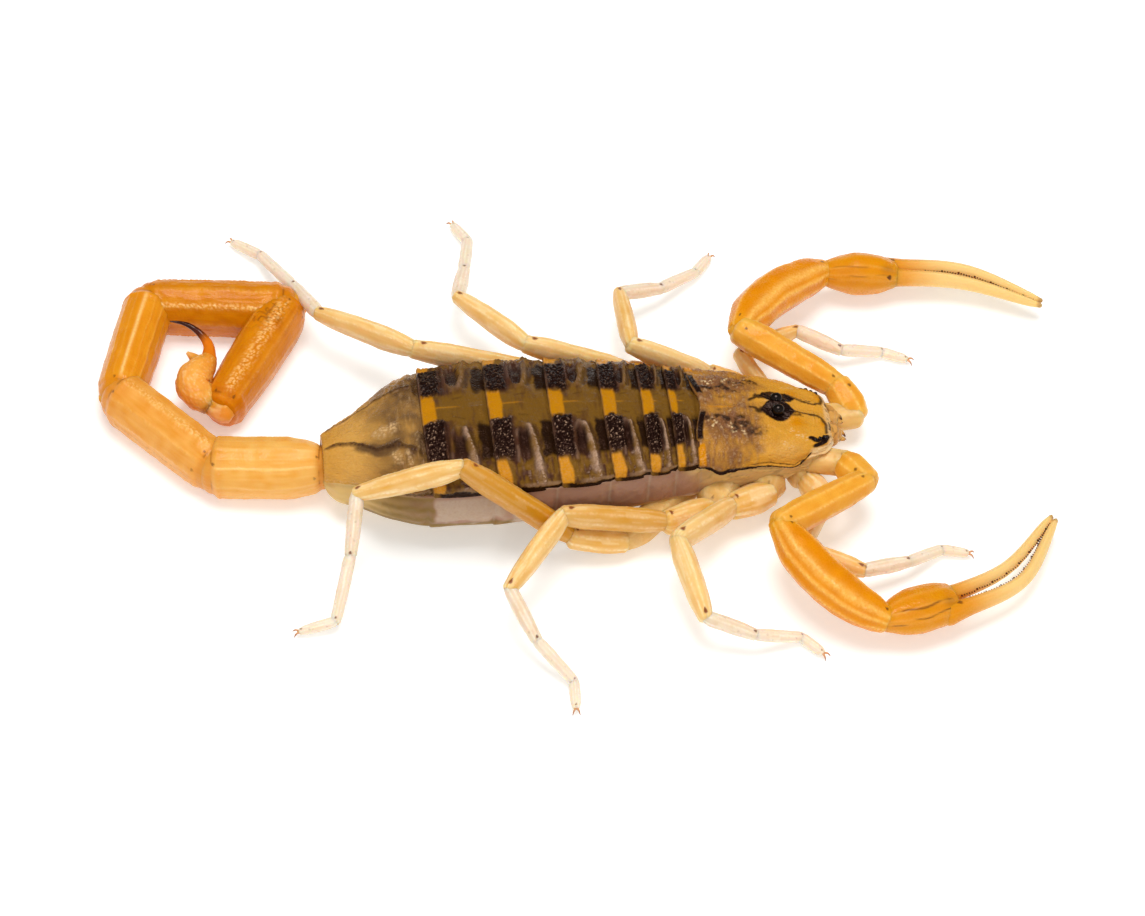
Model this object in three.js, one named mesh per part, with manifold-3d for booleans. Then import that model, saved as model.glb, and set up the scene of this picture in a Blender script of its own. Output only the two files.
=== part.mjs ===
// A striped bark scorpion at life size, resting on the floor with its tail curled flat on its left side.
// Millimetres, +Z up, +X towards the head, +Y to the animal's left. Every part of the body is one solid,
// parted from its neighbours by a thin cut.
import * as THREE from 'three';
import Module from 'manifold-3d';

const wasm = await Module();
wasm.setup();

// ---- driving dimensions ----------------------------------------------------------------------------

const GAP = 0.1;                 // width of the cut between two parts
const PLATE = 0.4;               // thickness of the plates of the back
const TRUNK_HEIGHT = 2.5;        // height of the trunk's axis above the floor
const TRUNK_ROLL = -11;          // the trunk leans a little to its left, degrees
const CARAPACE_LENGTH = 5.7;
const TAIL_START = -15.45;       // where the last plate of the back ends
const TERGITE_ENDS = [-1.05, -2.2, -3.85, -6.05, -8.6, -11.35, TAIL_START];
const FOOT_HEIGHT = 0.25;        // height of the last joint of a foot, whose sole is cut flat at the floor

// The trunk from tail to head: [x, sideways shift of its middle, half width, height of the plates' edge,
// of the crown, of the belly], heights from the trunk's axis.
const TRUNK = [
  [TAIL_START, -0.28, 1.25, -0.60, 0.45, -1.95],
  [-14.1, -0.24, 1.95, -0.30, 0.95, -2.00],
  [-12.75, -0.20, 3.00, 0.05, 1.45, -2.00],
  [-11.1, -0.14, 3.75, 0.40, 1.85, -2.00],
  [-8.35, -0.04, 3.90, 0.50, 1.87, -2.05],
  [-5.8, 0, 3.82, 0.50, 1.75, -2.00],
  [-3.6, 0, 3.58, 0.48, 1.64, -1.60],
  [-2.1, 0, 3.32, 0.45, 1.55, -1.25],
  [0, 0, 2.92, 0.35, 1.40, -1.10],
  [2.5, 0, 2.60, -0.10, 1.12, -1.15],
  [4.4, 0, 2.12, -0.22, 0.72, -1.15],
  [5.2, 0, 1.80, -0.24, 0.48, -1.10],
  [CARAPACE_LENGTH, 0, 1.35, -0.26, 0.22, -1.05],
];

// Legs, from the pair behind the claws to the last: lengths of the trochanter, femur, patella, tibia and
// the two foot joints, then how each leg stands: where its trochanter starts, the compass heading of each
// part in degrees, and the height of each part's far joint.
const LEG_LENGTHS = [
  [1.2, 2.95, 2.85, 2.05, 1.95, 1.1],
  [1.7, 3.7, 3.5, 2.2, 2.2, 1.1],
  [2.0, 4.6, 4.0, 2.35, 2.3, 1.2],
  [2.2, 6.2, 4.7, 2.5, 2.85, 1.5],
];
const stance = (hip, headings, heights) => ({ hip, headings, heights });
const LEG_STANCE = {
  right: [
    stance([4.55, -2.15, 1.25], [-57, -119, -26, 16, 33, -10], [1.15, 1.2, 1.35, 1.0, 0.33]),
    stance([2.85, -2.9, 1.45], [-157, -138, -76, -15, 9, -45], [1.65, 2.75, 1.85, 1.15, 0.32]),
    stance([0.35, -3.5, 1.45], [-159, -176, -129, -63, -47, -92], [1.7, 3.0, 2.35, 1.3, 0.37]),
    stance([-3.3, -4.5, 0.95], [179, 170, 174, -102, -108, -173], [1.4, 5.5, 3.5, 1.8, 0.57]),
  ],
  left: [
    stance([4.95, 2.3, 0.95], [197, 116, 25, -31, 9, -22], [1.0, 1.25, 1.12, 0.98, 0.3]),
    stance([2.7, 2.95, 0.9], [156, 169, 92, 23, 37, 53], [1.2, 2.7, 1.9, 1.05, 0.4]),
    stance([-0.2, 3.6, 0.9], [168, 170, 131, 77, 80, 116], [1.2, 2.5, 2.1, 1.2, 0.47]),
    stance([-3.2, 3.6, 0.9], [168, 176, 144, 112, 116, 138], [1.15, 3.0, 2.25, 1.42, 0.54]),
  ],
};

// Pedipalps, the claw arms: lengths of the trochanter, femur, patella, palm and finger, and their stance.
const PALP_LENGTHS = [1.5, 4.65, 5.75, 2.95, 6.4];
const PALP_STANCE = {
  right: stance([6.1, -1.9, 1.95], [-61, -147, -46, 17, 40], [2.3, 3.05, 1.58, 1.4, 1.05]),
  left: stance([7.0, 0.95, 1.4], [118, 149, 44, -3, -13], [1.8, 2.95, 1.58, 1.4, 1.0]),
};

// How each claw's two fingers lie, measured outward from the straight line through the palm's end and the
// tip: at the root, at the middle and at the tip.
const FINGERS = {
  right: { fixed: [-0.4, 0.35, -0.12], moving: [0.42, 1.25, 0.16] },
  left: { fixed: [-0.32, -0.05, -0.1], moving: [0.32, 0.55, 0.12] },
};

// Tail, lying on its side: the five rings' lengths, headings and the heights of their far joints.
const TAIL_LENGTHS = [4.55, 5.31, 4.92, 5.71, 5.89];
const TAIL_HEADINGS = [172, 132, 72, -6, -121];
const TAIL_HEIGHTS = [1.25, 1.2, 1.2, 1.2, 1.2];

const COLOURS = {
  carapace: 0x9c7436, tergite: 0x6a5334, membrane: 0xa08a72, underside: 0xd9b676, eye: 0x0b0908,
  chelicera: 0xc98a3c, palp: 0xe89b20, hand: 0xd88a1c, tail: 0xe09422, telson: 0xe8a23c,
  sting: 0x4a1f12, leg: 0xe6b467, foot: 0xe9dcc0, pecten: 0xe6cf9c,
};

// ---- making and cutting solids ---------------------------------------------------------------------

const vec = (x, y, z) => new THREE.Vector3(x, y, z);
const { degToRad, lerp } = THREE.MathUtils;
const SIDES = { right: -1, left: 1 };
const FLOOR_UP = vec(0, 0, 1);

/** A closed indexed geometry from corner points and triangles. */
function closedGeometry(points, triangles) {
  const geometry = new THREE.BufferGeometry().setFromPoints(points);
  geometry.setIndex(triangles);
  return geometry;
}

/** A closed geometry as a solid that can be joined and cut. */
function toSolid(geometry) {
  const mesh = new wasm.Mesh({
    numProp: 3,
    vertProperties: new Float32Array(geometry.attributes.position.array),
    triVerts: new Uint32Array(geometry.index.array),
  });
  const solid = new wasm.Manifold(mesh);
  if (solid.volume() > 0) return solid;
  const flipped = mesh.triVerts.slice();
  for (let i = 0; i < flipped.length; i += 3) [flipped[i], flipped[i + 1]] = [flipped[i + 1], flipped[i]];
  const turned = new wasm.Mesh({ numProp: 3, vertProperties: mesh.vertProperties, triVerts: flipped });
  return new wasm.Manifold(turned);
}

/** A solid skinned over rings of points that all run the same way, closed to a point at each end. */
function skin(rings, firstTip, lastTip) {
  const count = rings[0].length;
  const points = [firstTip, ...rings.flat(), lastTip];
  const triangles = [];
  for (let i = 0; i < count; i++) {
    const next = (i + 1) % count;
    triangles.push(0, 1 + next, 1 + i);
    for (let r = 0; r + 1 < rings.length; r++) {
      const near = 1 + r * count;
      const far = near + count;
      triangles.push(near + i, near + next, far + next, near + i, far + next, far + i);
    }
    const lastRing = 1 + (rings.length - 1) * count;
    triangles.push(lastRing + i, lastRing + next, points.length - 1);
  }
  return toSolid(closedGeometry(points, triangles));
}

/** The middle of a ring of points. */
function middle(ring) {
  return ring.reduce((sum, point) => sum.add(point), vec(0, 0, 0)).divideScalar(ring.length);
}

/** A solid skinned over rings, with a flat face at each end. */
function flatEnded(rings) {
  return skin(rings, middle(rings[0]), middle(rings.at(-1)));
}

/**
 * A limb part along a curve. shape lists [place along the curve from 0 to 1, half width, half height];
 * its ends bulge past the curve by round times their half height. square under 1 flattens the four sides.
 */
function limbPart({ curve, shape, sides = 8, round = 0.8, square = 1, grow = 0 }) {
  const soften = (value) => Math.sign(value) * Math.abs(value) ** square;
  const ringAt = (place, past, halfWidth, halfHeight) => {
    const along = curve.getTangentAt(place);
    const across = new THREE.Vector3().crossVectors(FLOOR_UP, along).normalize();
    const up = new THREE.Vector3().crossVectors(along, across);
    const centre = curve.getPointAt(place).addScaledVector(along, past);
    return Array.from({ length: sides }, (_, i) => {
      const angle = (2 * Math.PI * (i + 0.5)) / sides;
      return centre.clone()
        .addScaledVector(across, (halfWidth + grow) * soften(Math.cos(angle)))
        .addScaledVector(up, (halfHeight + grow) * soften(Math.sin(angle)));
    });
  };
  const [firstPlace, firstWidth, firstHeight] = shape[0];
  const [lastPlace, lastWidth, lastHeight] = shape.at(-1);
  const firstBulge = round * (firstHeight + grow);
  const lastBulge = round * (lastHeight + grow);
  const rings = [
    ringAt(firstPlace, -0.65 * firstBulge, 0.72 * firstWidth, 0.72 * firstHeight),
    ...shape.map(([place, halfWidth, halfHeight]) => ringAt(place, 0, halfWidth, halfHeight)),
    ringAt(lastPlace, 0.65 * lastBulge, 0.72 * lastWidth, 0.72 * lastHeight),
  ];
  const firstTip = curve.getPointAt(firstPlace).addScaledVector(curve.getTangentAt(firstPlace), -firstBulge);
  const lastTip = curve.getPointAt(lastPlace).addScaledVector(curve.getTangentAt(lastPlace), lastBulge);
  return skin(rings, firstTip, lastTip);
}

/** A ball or an egg: half sizes along x, y and z. */
function egg(centre, half, across = 8, down = 4) {
  const ringAt = (j) => Array.from({ length: across }, (_, i) => {
    const polar = (Math.PI * j) / down;
    const turn = (2 * Math.PI * i) / across;
    return vec(
      centre.x + half.x * Math.sin(polar) * Math.cos(turn),
      centre.y + half.y * Math.sin(polar) * Math.sin(turn),
      centre.z + half.z * Math.cos(polar),
    );
  });
  const rings = Array.from({ length: down - 1 }, (_, j) => ringAt(j + 1));
  return skin(rings, vec(centre.x, centre.y, centre.z + half.z), vec(centre.x, centre.y, centre.z - half.z));
}

/** What is left of a solid on the side of a plane that the normal points to, less half a gap. */
function keepSide(solid, point, normal, gap = GAP) {
  return solid.trimByPlane(normal.toArray(), normal.dot(point) + gap / 2);
}

/** What is left of a solid above the floor. */
function aboveFloor(solid) {
  return solid.trimByPlane([0, 0, 1], 0);
}

/** The joint points of a limb: each part has a length, a heading and the height of its far joint. */
function jointPoints(start, lengths, headings, heights) {
  const points = [vec(...start)];
  lengths.forEach((length, i) => {
    const last = points[i];
    const reach = Math.sqrt(length ** 2 - (heights[i] - last.z) ** 2);
    const heading = degToRad(headings[i]);
    points.push(vec(last.x + reach * Math.cos(heading), last.y + reach * Math.sin(heading), heights[i]));
  });
  return points;
}

/** The plane that parts the two limb parts that meet at joints[i]: its normal points onward. */
function jointNormal(joints, i) {
  const before = joints[i].clone().sub(joints[i - 1]).normalize();
  const after = joints[i + 1].clone().sub(joints[i]).normalize();
  return before.add(after).normalize();
}

/** Cuts limb part i, which runs from joints[i] to joints[i + 1], at the planes it shares with others. */
function cutAtJoints(solid, joints, i) {
  let cut = solid;
  if (i > 0) cut = keepSide(cut, joints[i], jointNormal(joints, i));
  if (i + 2 < joints.length) cut = keepSide(cut, joints[i + 1], jointNormal(joints, i + 1).negate());
  return cut;
}

const scorpion = new THREE.Group();

/** Adds a solid to the model as a named mesh whose own origin is at the given point. */
function addPart(name, solid, colour, origin, roughness = 0.38) {
  const mesh = solid.translate(origin.clone().negate().toArray()).getMesh();
  const geometry = new THREE.BufferGeometry();
  geometry.setAttribute('position', new THREE.BufferAttribute(new Float32Array(mesh.vertProperties), 3));
  geometry.setIndex(new THREE.BufferAttribute(new Uint32Array(mesh.triVerts), 1));
  geometry.computeVertexNormals();
  const material = new THREE.MeshStandardMaterial({ color: colour, roughness, metalness: 0 });
  const part = new THREE.Mesh(geometry, material);
  part.name = name;
  part.position.copy(origin);
  scorpion.add(part);
}

// ---- trunk -----------------------------------------------------------------------------------------

const trunkFrame = new THREE.Matrix4()
  .makeTranslation(0, 0, TRUNK_HEIGHT)
  .multiply(new THREE.Matrix4().makeRotationX(degToRad(TRUNK_ROLL)));
const inTrunk = (x, y, z) => vec(x, y, z).applyMatrix4(trunkFrame);

/** The trunk's measures at one place along it. */
function trunkAt(x) {
  const after = Math.max(1, TRUNK.findIndex((row) => row[0] >= x));
  const [from, to] = [TRUNK[after - 1], TRUNK[after]];
  const share = (x - from[0]) / (to[0] - from[0]);
  const [, aside, halfWidth, edge, crown, belly] = from.map((value, i) => lerp(value, to[i], share));
  return { aside, halfWidth, edge, crown, belly };
}

/** Points of an arch over the trunk from its right edge to its left one, about a middle shifted aside. */
function arch(x, aside, halfWidth, edge, crown, count) {
  return Array.from({ length: count + 1 }, (_, i) => {
    const angle = (Math.PI * i) / count;
    return inTrunk(x, aside - halfWidth * Math.cos(angle), edge + (crown - edge) * Math.sin(angle) ** 0.85);
  });
}

const ARCH_STEPS = 8;
const REAR_LIFT = 0.1;           // how far a plate's rear edge stands out over the next plate

/** A plate of the back, an arch PLATE thick through the given places; lift raises its rear edge. */
function backPlate(places, lift) {
  const rings = places.map((x, row) => {
    const { aside, halfWidth, edge, crown } = trunkAt(x);
    const raise = lerp(lift, 0, row / (places.length - 1));
    const outer = arch(x, aside, halfWidth + raise, edge, crown + raise, ARCH_STEPS);
    const inner = arch(x, aside, halfWidth - PLATE, edge, Math.max(crown - PLATE, edge + 0.02), ARCH_STEPS);
    return [...outer, ...inner.reverse()];
  });
  const count = rings[0].length;
  const triangles = [];
  for (let r = 0; r + 1 < rings.length; r++) {
    for (let i = 0; i < count; i++) {
      const next = (i + 1) % count;
      const [near, far] = [r * count, (r + 1) * count];
      triangles.push(near + i, near + next, far + next, near + i, far + next, far + i);
    }
  }
  const last = (rings.length - 1) * count;
  for (let i = 0; i < ARCH_STEPS; i++) {
    const [a, b, c, d] = [i, i + 1, count - 2 - i, count - 1 - i];
    triangles.push(b, a, c, a, d, c);
    triangles.push(last + a, last + b, last + c, last + a, last + c, last + d);
  }
  return toSolid(closedGeometry(rings.flat(), triangles));
}

/** The soft body under the plates between two ends: arched under them, bulging below their edge. */
function softBody(places, grow = 0) {
  const rings = places.map((x) => {
    const { aside, halfWidth, edge, crown, belly } = trunkAt(x);
    const inset = PLATE + GAP - grow;
    const shelf = edge - GAP + grow;
    const top = arch(x, aside, halfWidth - inset, shelf, Math.max(crown - inset, shelf + 0.05), 8);
    const depth = shelf - belly;
    const low = belly - grow;
    const flank = (y, z) => [inTrunk(x, aside + y, z), inTrunk(x, aside - y, z)];
    const [shelfLeft, shelfRight] = flank(halfWidth - 0.06 + grow, shelf);
    const [bulgeLeft, bulgeRight] = flank(halfWidth + 0.04 + grow, shelf - 0.35 * depth);
    const [cornerLeft, cornerRight] = flank(0.84 * halfWidth + grow, low + 0.12 * depth);
    const [soleLeft, soleRight] = flank(0.5 * halfWidth, low);
    const leftSide = [shelfLeft, bulgeLeft, cornerLeft, soleLeft];
    return [...top, ...leftSide, soleRight, cornerRight, bulgeRight, shelfRight];
  });
  return flatEnded(rings);
}

const BELLY_PLACES = [
  TAIL_START + GAP / 2, ...TRUNK.map(([x]) => x).filter((x) => x > TAIL_START && x < 0), -GAP / 2,
];
const PROSOMA_PLACES = [GAP / 2, 2.5, 4.4, 5.1];

function addTergites() {
  let front = -GAP / 2;
  TERGITE_ENDS.forEach((end, i) => {
    const isLast = i === TERGITE_ENDS.length - 1;
    const rear = end + (isLast ? GAP / 2 : GAP);
    const inner = isLast ? [TRUNK[1][0], TRUNK[2][0]] : [lerp(rear, front, 0.5)];
    const plate = backPlate([rear, ...inner, front], REAR_LIFT);
    addPart(`tergite_${i + 1}`, plate, COLOURS.tergite, inTrunk(rear, 0, 0));
    front = end;
  });
}

const MEDIAN_EYE = { x: 3.42, aside: -0.08, apart: 0.3, height: 1.15, radius: 0.22 };
const LATERAL_EYES = { x: 5.0, aside: 1.45, height: 0.22, half: vec(0.34, 0.15, 0.15) };

function addCarapace() {
  let carapace = backPlate([GAP / 2, 1.25, 2.5, 3.5, 4.4, 5.2, CARAPACE_LENGTH], 0);
  carapace = carapace.add(egg(inTrunk(MEDIAN_EYE.x, MEDIAN_EYE.aside, 0.9), vec(0.75, 0.5, 0.32)));
  for (const [side, sign] of Object.entries(SIDES)) {
    const radius = MEDIAN_EYE.radius;
    const eye = inTrunk(MEDIAN_EYE.x, MEDIAN_EYE.aside + sign * MEDIAN_EYE.apart, MEDIAN_EYE.height);
    const pocket = radius + GAP / 2;
    carapace = carapace.subtract(egg(eye, vec(pocket, pocket, pocket)));
    addPart(`eye_median_${side}`, egg(eye, vec(radius, radius, radius)), COLOURS.eye, eye, 0.1);
    const group = inTrunk(LATERAL_EYES.x, sign * LATERAL_EYES.aside, LATERAL_EYES.height);
    const hollow = LATERAL_EYES.half.clone().addScalar(GAP / 2);
    carapace = carapace.subtract(egg(group, hollow));
    addPart(`eyes_lateral_${side}`, egg(group, LATERAL_EYES.half), COLOURS.eye, group, 0.1);
  }
  addPart('carapace', carapace, COLOURS.carapace, inTrunk(0, 0, 0));
}

// Chelicerae, the two short jaws under the front of the carapace.
const CHELICERA = [[0, 0.34, 0.3], [0.5, 0.4, 0.34], [1, 0.2, 0.2]];

function cheliceraSolid(side, grow = 0) {
  const root = inTrunk(5.45, SIDES[side] * 0.46, -0.52);
  const curve = new THREE.LineCurve3(root, inTrunk(6.4, SIDES[side] * 0.44, -0.62));
  return { root, solid: limbPart({ curve, shape: CHELICERA, grow }) };
}

function addChelicerae() {
  for (const side of Object.keys(SIDES)) {
    const { root, solid } = cheliceraSolid(side);
    addPart(`chelicera_${side}`, solid, COLOURS.chelicera, root);
  }
}

/** The line of a hip from beside the breastbone to the limb, and the plane that parts it from the limb. */
function hipLine(inner, { hip, headings }) {
  const outer = vec(...hip);
  const heading = degToRad(headings[0]);
  const onward = vec(Math.cos(heading), Math.sin(heading), 0);
  const normal = outer.clone().sub(inner).normalize().add(onward).normalize();
  return { curve: new THREE.LineCurve3(inner, outer), outer, normal };
}

const legHip = (side, i) => hipLine(inTrunk(3.7 - 0.85 * i, SIDES[side] * 0.5, -1.1), LEG_STANCE[side][i]);
const palpHip = (side) => hipLine(inTrunk(3.6, SIDES[side] * 1.1, -0.9), PALP_STANCE[side]);

const LEG_HIP = [[0, 0.38, 0.42], [1, 0.5, 0.52]];
const PALP_HIP = [[0, 0.5, 0.5], [1, 0.62, 0.6]];

/** The ten hips that meet at the breastbone, as one solid; grow widens them all. */
function allHips(grow = 0) {
  const hipSolid = ({ curve, outer, normal }, shape) =>
    keepSide(limbPart({ curve, shape, sides: 5, grow }), outer, normal.clone().negate(), GAP - 2 * grow);
  return Object.keys(SIDES)
    .flatMap((side) => [
      hipSolid(palpHip(side), PALP_HIP), ...LEG_LENGTHS.map((_, i) => hipSolid(legHip(side, i), LEG_HIP)),
    ])
    .reduce((all, one) => all.add(one));
}

/** The two combs under the front of the belly. */
function pectenSolid(side, grow = 0) {
  const sign = SIDES[side];
  const root = inTrunk(-1.5, sign * 0.5, -1.62);
  const curve = new THREE.LineCurve3(root, inTrunk(-3.3, sign * 2.7, -1.75));
  const shape = [[0, 0.35, 0.25], [0.5, 0.5, 0.25], [1, 0.3, 0.22]];
  return { root, solid: limbPart({ curve, shape, sides: 6, round: 0.6, grow }) };
}

/** The soft underside of the belly gives way to the hips and combs that lie against it. */
function addUnderside() {
  let belly = softBody(BELLY_PLACES).subtract(allHips(GAP));
  for (const side of Object.keys(SIDES)) {
    belly = belly.subtract(pectenSolid(side, GAP).solid);
    const { root, solid } = pectenSolid(side);
    addPart(`pecten_${side}`, solid.subtract(allHips(GAP)), COLOURS.pecten, root);
  }
  addPart('belly', belly, COLOURS.membrane, inTrunk(-8, 0, -0.5), 0.5);
  let prosoma = softBody(PROSOMA_PLACES).add(allHips());
  for (const side of Object.keys(SIDES)) {
    prosoma = prosoma.subtract(cheliceraSolid(side, GAP).solid);
    LEG_LENGTHS.forEach((_, i) => { prosoma = prosoma.subtract(upperLeg(side, i, GAP / 2).femur); });
  }
  addPart('prosoma_underside', aboveFloor(prosoma), COLOURS.underside, inTrunk(2.5, 0, -0.5), 0.45);
}

// ---- tail ------------------------------------------------------------------------------------------

// Half width and half height of the tail's rings along their length: the first, the three alike, the last.
const FIRST_RING = [[0, 0.85, 1.1], [0.14, 1.04, 1.24], [0.35, 1.24, 1.26], [0.9, 1.22, 1.26], [1, 1.1, 1.2]];
const MIDDLE_RING = [[0, 0.98, 1.22], [0.15, 1.02, 1.25], [0.85, 1.06, 1.26], [1, 1.0, 1.22]];
const LAST_RING = [[0, 1.0, 1.2], [0.2, 1.1, 1.25], [0.6, 1.06, 1.24], [0.9, 0.9, 1.22], [1, 0.82, 1.05]];
const TAIL_SHAPES = [FIRST_RING, MIDDLE_RING, MIDDLE_RING, MIDDLE_RING, LAST_RING];
const LAST = TAIL_SHAPES.length - 1;
const FOOT_RING = 3;             // the ring whose corner gives way to the last left foot

const tailJoints = jointPoints(
  inTrunk(TAIL_START, -0.22, -0.95).toArray(), TAIL_LENGTHS, TAIL_HEADINGS, TAIL_HEIGHTS,
);

function tailRing(i, grow = 0) {
  const curve = new THREE.LineCurve3(tailJoints[i], tailJoints[i + 1]);
  const round = i === LAST ? 0.3 : 0.55;
  return limbPart({ curve, shape: TAIL_SHAPES[i], sides: 12, square: 0.85, round, grow });
}

const STING_ROOT = vec(-19.72, 5.35, 1.93);
const VESICLE = [[0, 0.5, 0.55], [0.25, 0.78, 0.72], [0.55, 0.86, 0.82], [0.82, 0.68, 0.68], [1, 0.34, 0.4]];
const STING = [[0, 0.3, 0.3], [0.35, 0.24, 0.25], [0.7, 0.19, 0.19], [1, 0.1, 0.1]];

function addTail() {
  const trunkEnd = tailJoints[0];
  tailJoints.slice(1).forEach((_, i) => {
    let ring = cutAtJoints(tailRing(i), tailJoints, i);
    if (i === 0) ring = keepSide(ring, trunkEnd, vec(-1, 0, 0));
    if (i === LAST) ring = ring.subtract(tailRing(1, GAP));
    if (i === FOOT_RING) ring = ring.subtract(footSolid('left', 3, upperLeg('left', 3).joints, GAP));
    addPart(`tail_${i + 1}`, aboveFloor(ring), COLOURS.tail, tailJoints[i]);
  });
}

/** The venom bulb with the small tooth under the sting, and the sting, curving to the left and on. */
function addTelson() {
  const root = vec(-19.75, 3.35, 1.35);
  const bulbLine = new THREE.CatmullRomCurve3([root, vec(-20.42, 4.15, 1.72), STING_ROOT]);
  const toothLine = new THREE.LineCurve3(vec(-20.05, 5.1, 1.85), vec(-20.52, 5.62, 1.88));
  let bulb = limbPart({ curve: bulbLine, shape: VESICLE, sides: 10, round: 0.3 });
  bulb = bulb.add(limbPart({ curve: toothLine, shape: [[0, 0.28, 0.28], [1, 0.1, 0.1]], sides: 6 }));
  bulb = bulb.subtract(tailRing(LAST, GAP)).subtract(tailRing(1, GAP / 2));
  const stingLine = new THREE.CatmullRomCurve3([
    STING_ROOT, vec(-19.68, 5.95, 2.0), vec(-20.15, 6.7, 2.2), vec(-20.7, 7.05, 2.28), vec(-21.2, 7.16, 2.3),
  ]);
  const onward = stingLine.getTangentAt(0);
  const sting = limbPart({ curve: stingLine, shape: STING, round: 0.9 });
  addPart('telson_bulb', keepSide(bulb, STING_ROOT, onward.clone().negate()), COLOURS.telson, root);
  addPart('telson_sting', keepSide(sting, STING_ROOT, onward), COLOURS.sting, STING_ROOT, 0.2);
}

// ---- pedipalps -------------------------------------------------------------------------------------

const PALP_TROCHANTER = [[0, 0.6, 0.6], [0.4, 0.72, 0.68], [1, 0.66, 0.64]];
const PALP_FEMUR = [[0, 0.58, 0.6], [0.3, 0.66, 0.68], [0.8, 0.7, 0.74], [1, 0.66, 0.68]];
const PALP_PATELLA = [
  [0, 0.66, 0.68], [0.25, 0.92, 0.82], [0.6, 0.96, 0.88], [0.85, 0.82, 0.8], [1, 0.58, 0.64],
];
const PATELLA_BOW = 1.0;         // how far the patella's control point lies out from the line of its joints
const PALM_SHAPES = {
  right: [[0, 0.56, 0.5], [0.25, 0.9, 0.72], [0.55, 1.05, 0.82], [0.85, 0.95, 0.78], [1, 0.75, 0.66]],
  left: [[0, 0.5, 0.5], [0.25, 0.72, 0.8], [0.55, 0.82, 1.0], [0.85, 0.76, 0.92], [1, 0.62, 0.7]],
};
const FINGER = [[0, 0.34, 0.4], [0.35, 0.28, 0.36], [0.7, 0.26, 0.31], [1, 0.13, 0.15]];
const FINGER_OVERLAP = 0.5;      // how far a finger's root reaches back into the palm

/** The parts of a claw arm from its hip outward, as solids; grow widens them all. */
function palpArm(side, grow = 0) {
  const { hip, headings, heights } = PALP_STANCE[side];
  const joints = jointPoints(hip, PALP_LENGTHS, headings, heights);
  const part = (i, shape, sides, bow = 0) => {
    const along = joints[i + 1].clone().sub(joints[i]);
    const outward = new THREE.Vector3().crossVectors(FLOOR_UP, along).setLength(SIDES[side] * bow);
    const control = joints[i].clone().lerp(joints[i + 1], 0.5).add(outward);
    const curve = new THREE.QuadraticBezierCurve3(joints[i], control, joints[i + 1]);
    return cutAtJoints(limbPart({ curve, shape, sides, grow }), joints, i);
  };
  const trochanter = keepSide(part(0, PALP_TROCHANTER, 8), joints[0], palpHip(side).normal);
  const patella = part(2, PALP_PATELLA, 10, PATELLA_BOW);
  return { joints, trochanter, femur: part(1, PALP_FEMUR, 10), patella };
}

function addPedipalp(side) {
  const { joints, trochanter, femur, patella } = palpArm(side);
  addPart(`pedipalp_${side}_trochanter`, trochanter, COLOURS.palp, joints[0]);
  addPart(`pedipalp_${side}_femur`, femur, COLOURS.palp, joints[1]);
  addPart(`pedipalp_${side}_patella`, patella, COLOURS.palp, joints[2]);

  // The two fingers part at the palm's end; the moving one is on the claw's outer side.
  const [wrist, palmEnd, tip] = joints.slice(3);
  const reach = tip.clone().sub(palmEnd).normalize();
  const outward = new THREE.Vector3().crossVectors(FLOOR_UP, reach).normalize().multiplyScalar(SIDES[side]);
  const root = palmEnd.clone().addScaledVector(reach, -FINGER_OVERLAP);
  const fingerPart = ([atRoot, atMiddle, atTip], grow = 0) => {
    const curve = new THREE.CatmullRomCurve3([
      root.clone().addScaledVector(outward, atRoot),
      root.clone().lerp(tip, 0.5).addScaledVector(outward, atMiddle),
      tip.clone().addScaledVector(outward, atTip),
    ]);
    return limbPart({ curve, shape: FINGER, sides: 6, round: 0.9, grow });
  };
  const palm = limbPart({
    curve: new THREE.LineCurve3(wrist, palmEnd), shape: PALM_SHAPES[side], sides: 10, round: 0.4,
  });
  const { fixed, moving } = FINGERS[side];
  const hand = keepSide(palm, wrist, jointNormal(joints, 3))
    .add(fingerPart(fixed))
    .subtract(fingerPart(moving, GAP));
  addPart(`pedipalp_${side}_hand`, hand, COLOURS.hand, wrist);
  addPart(`pedipalp_${side}_moving_finger`, fingerPart(moving), COLOURS.hand, root);
}

// ---- legs ------------------------------------------------------------------------------------------

const LEG_SHAPES = {
  trochanter: [[0, 0.5, 0.52], [1, 0.46, 0.52]],
  femur: [[0, 0.36, 0.48], [0.25, 0.4, 0.6], [0.75, 0.4, 0.6], [1, 0.36, 0.5]],
  patella: [[0, 0.36, 0.48], [0.3, 0.42, 0.6], [0.75, 0.38, 0.5], [1, 0.3, 0.36]],
};
// Half width and half height of a foot at its joints and at the middle of the shin.
const SHIN_TOP = [0.29, 0.32];
const SHIN_MIDDLE = [0.32, 0.35];
const ANKLE = [0.28, 0.3];
const TOE = [0.27, 0.28];
const FOOT_CLAW = [[0, 0.2, 0.2], [1, 0.1, 0.1]];
const LEG_SIZE = [0.86, 0.93, 1, 1.02];      // thickness of the legs' upper parts from first to last
const CLAW_LENGTH = 0.36;
const CLAW_SPREAD = 28;                      // degrees each claw turns from the foot's heading

/** A pair of small claws at the end of a foot, resting on the floor. */
function claws(toe, heading) {
  const claw = (turn) => {
    const out = vec(Math.cos(degToRad(turn)), Math.sin(degToRad(turn)), 0);
    const tip = toe.clone().addScaledVector(out, CLAW_LENGTH).setZ(FOOT_CLAW[1][2]);
    return limbPart({ curve: new THREE.LineCurve3(toe, tip), shape: FOOT_CLAW, sides: 5 });
  };
  return claw(heading - CLAW_SPREAD).add(claw(heading + CLAW_SPREAD));
}

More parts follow.
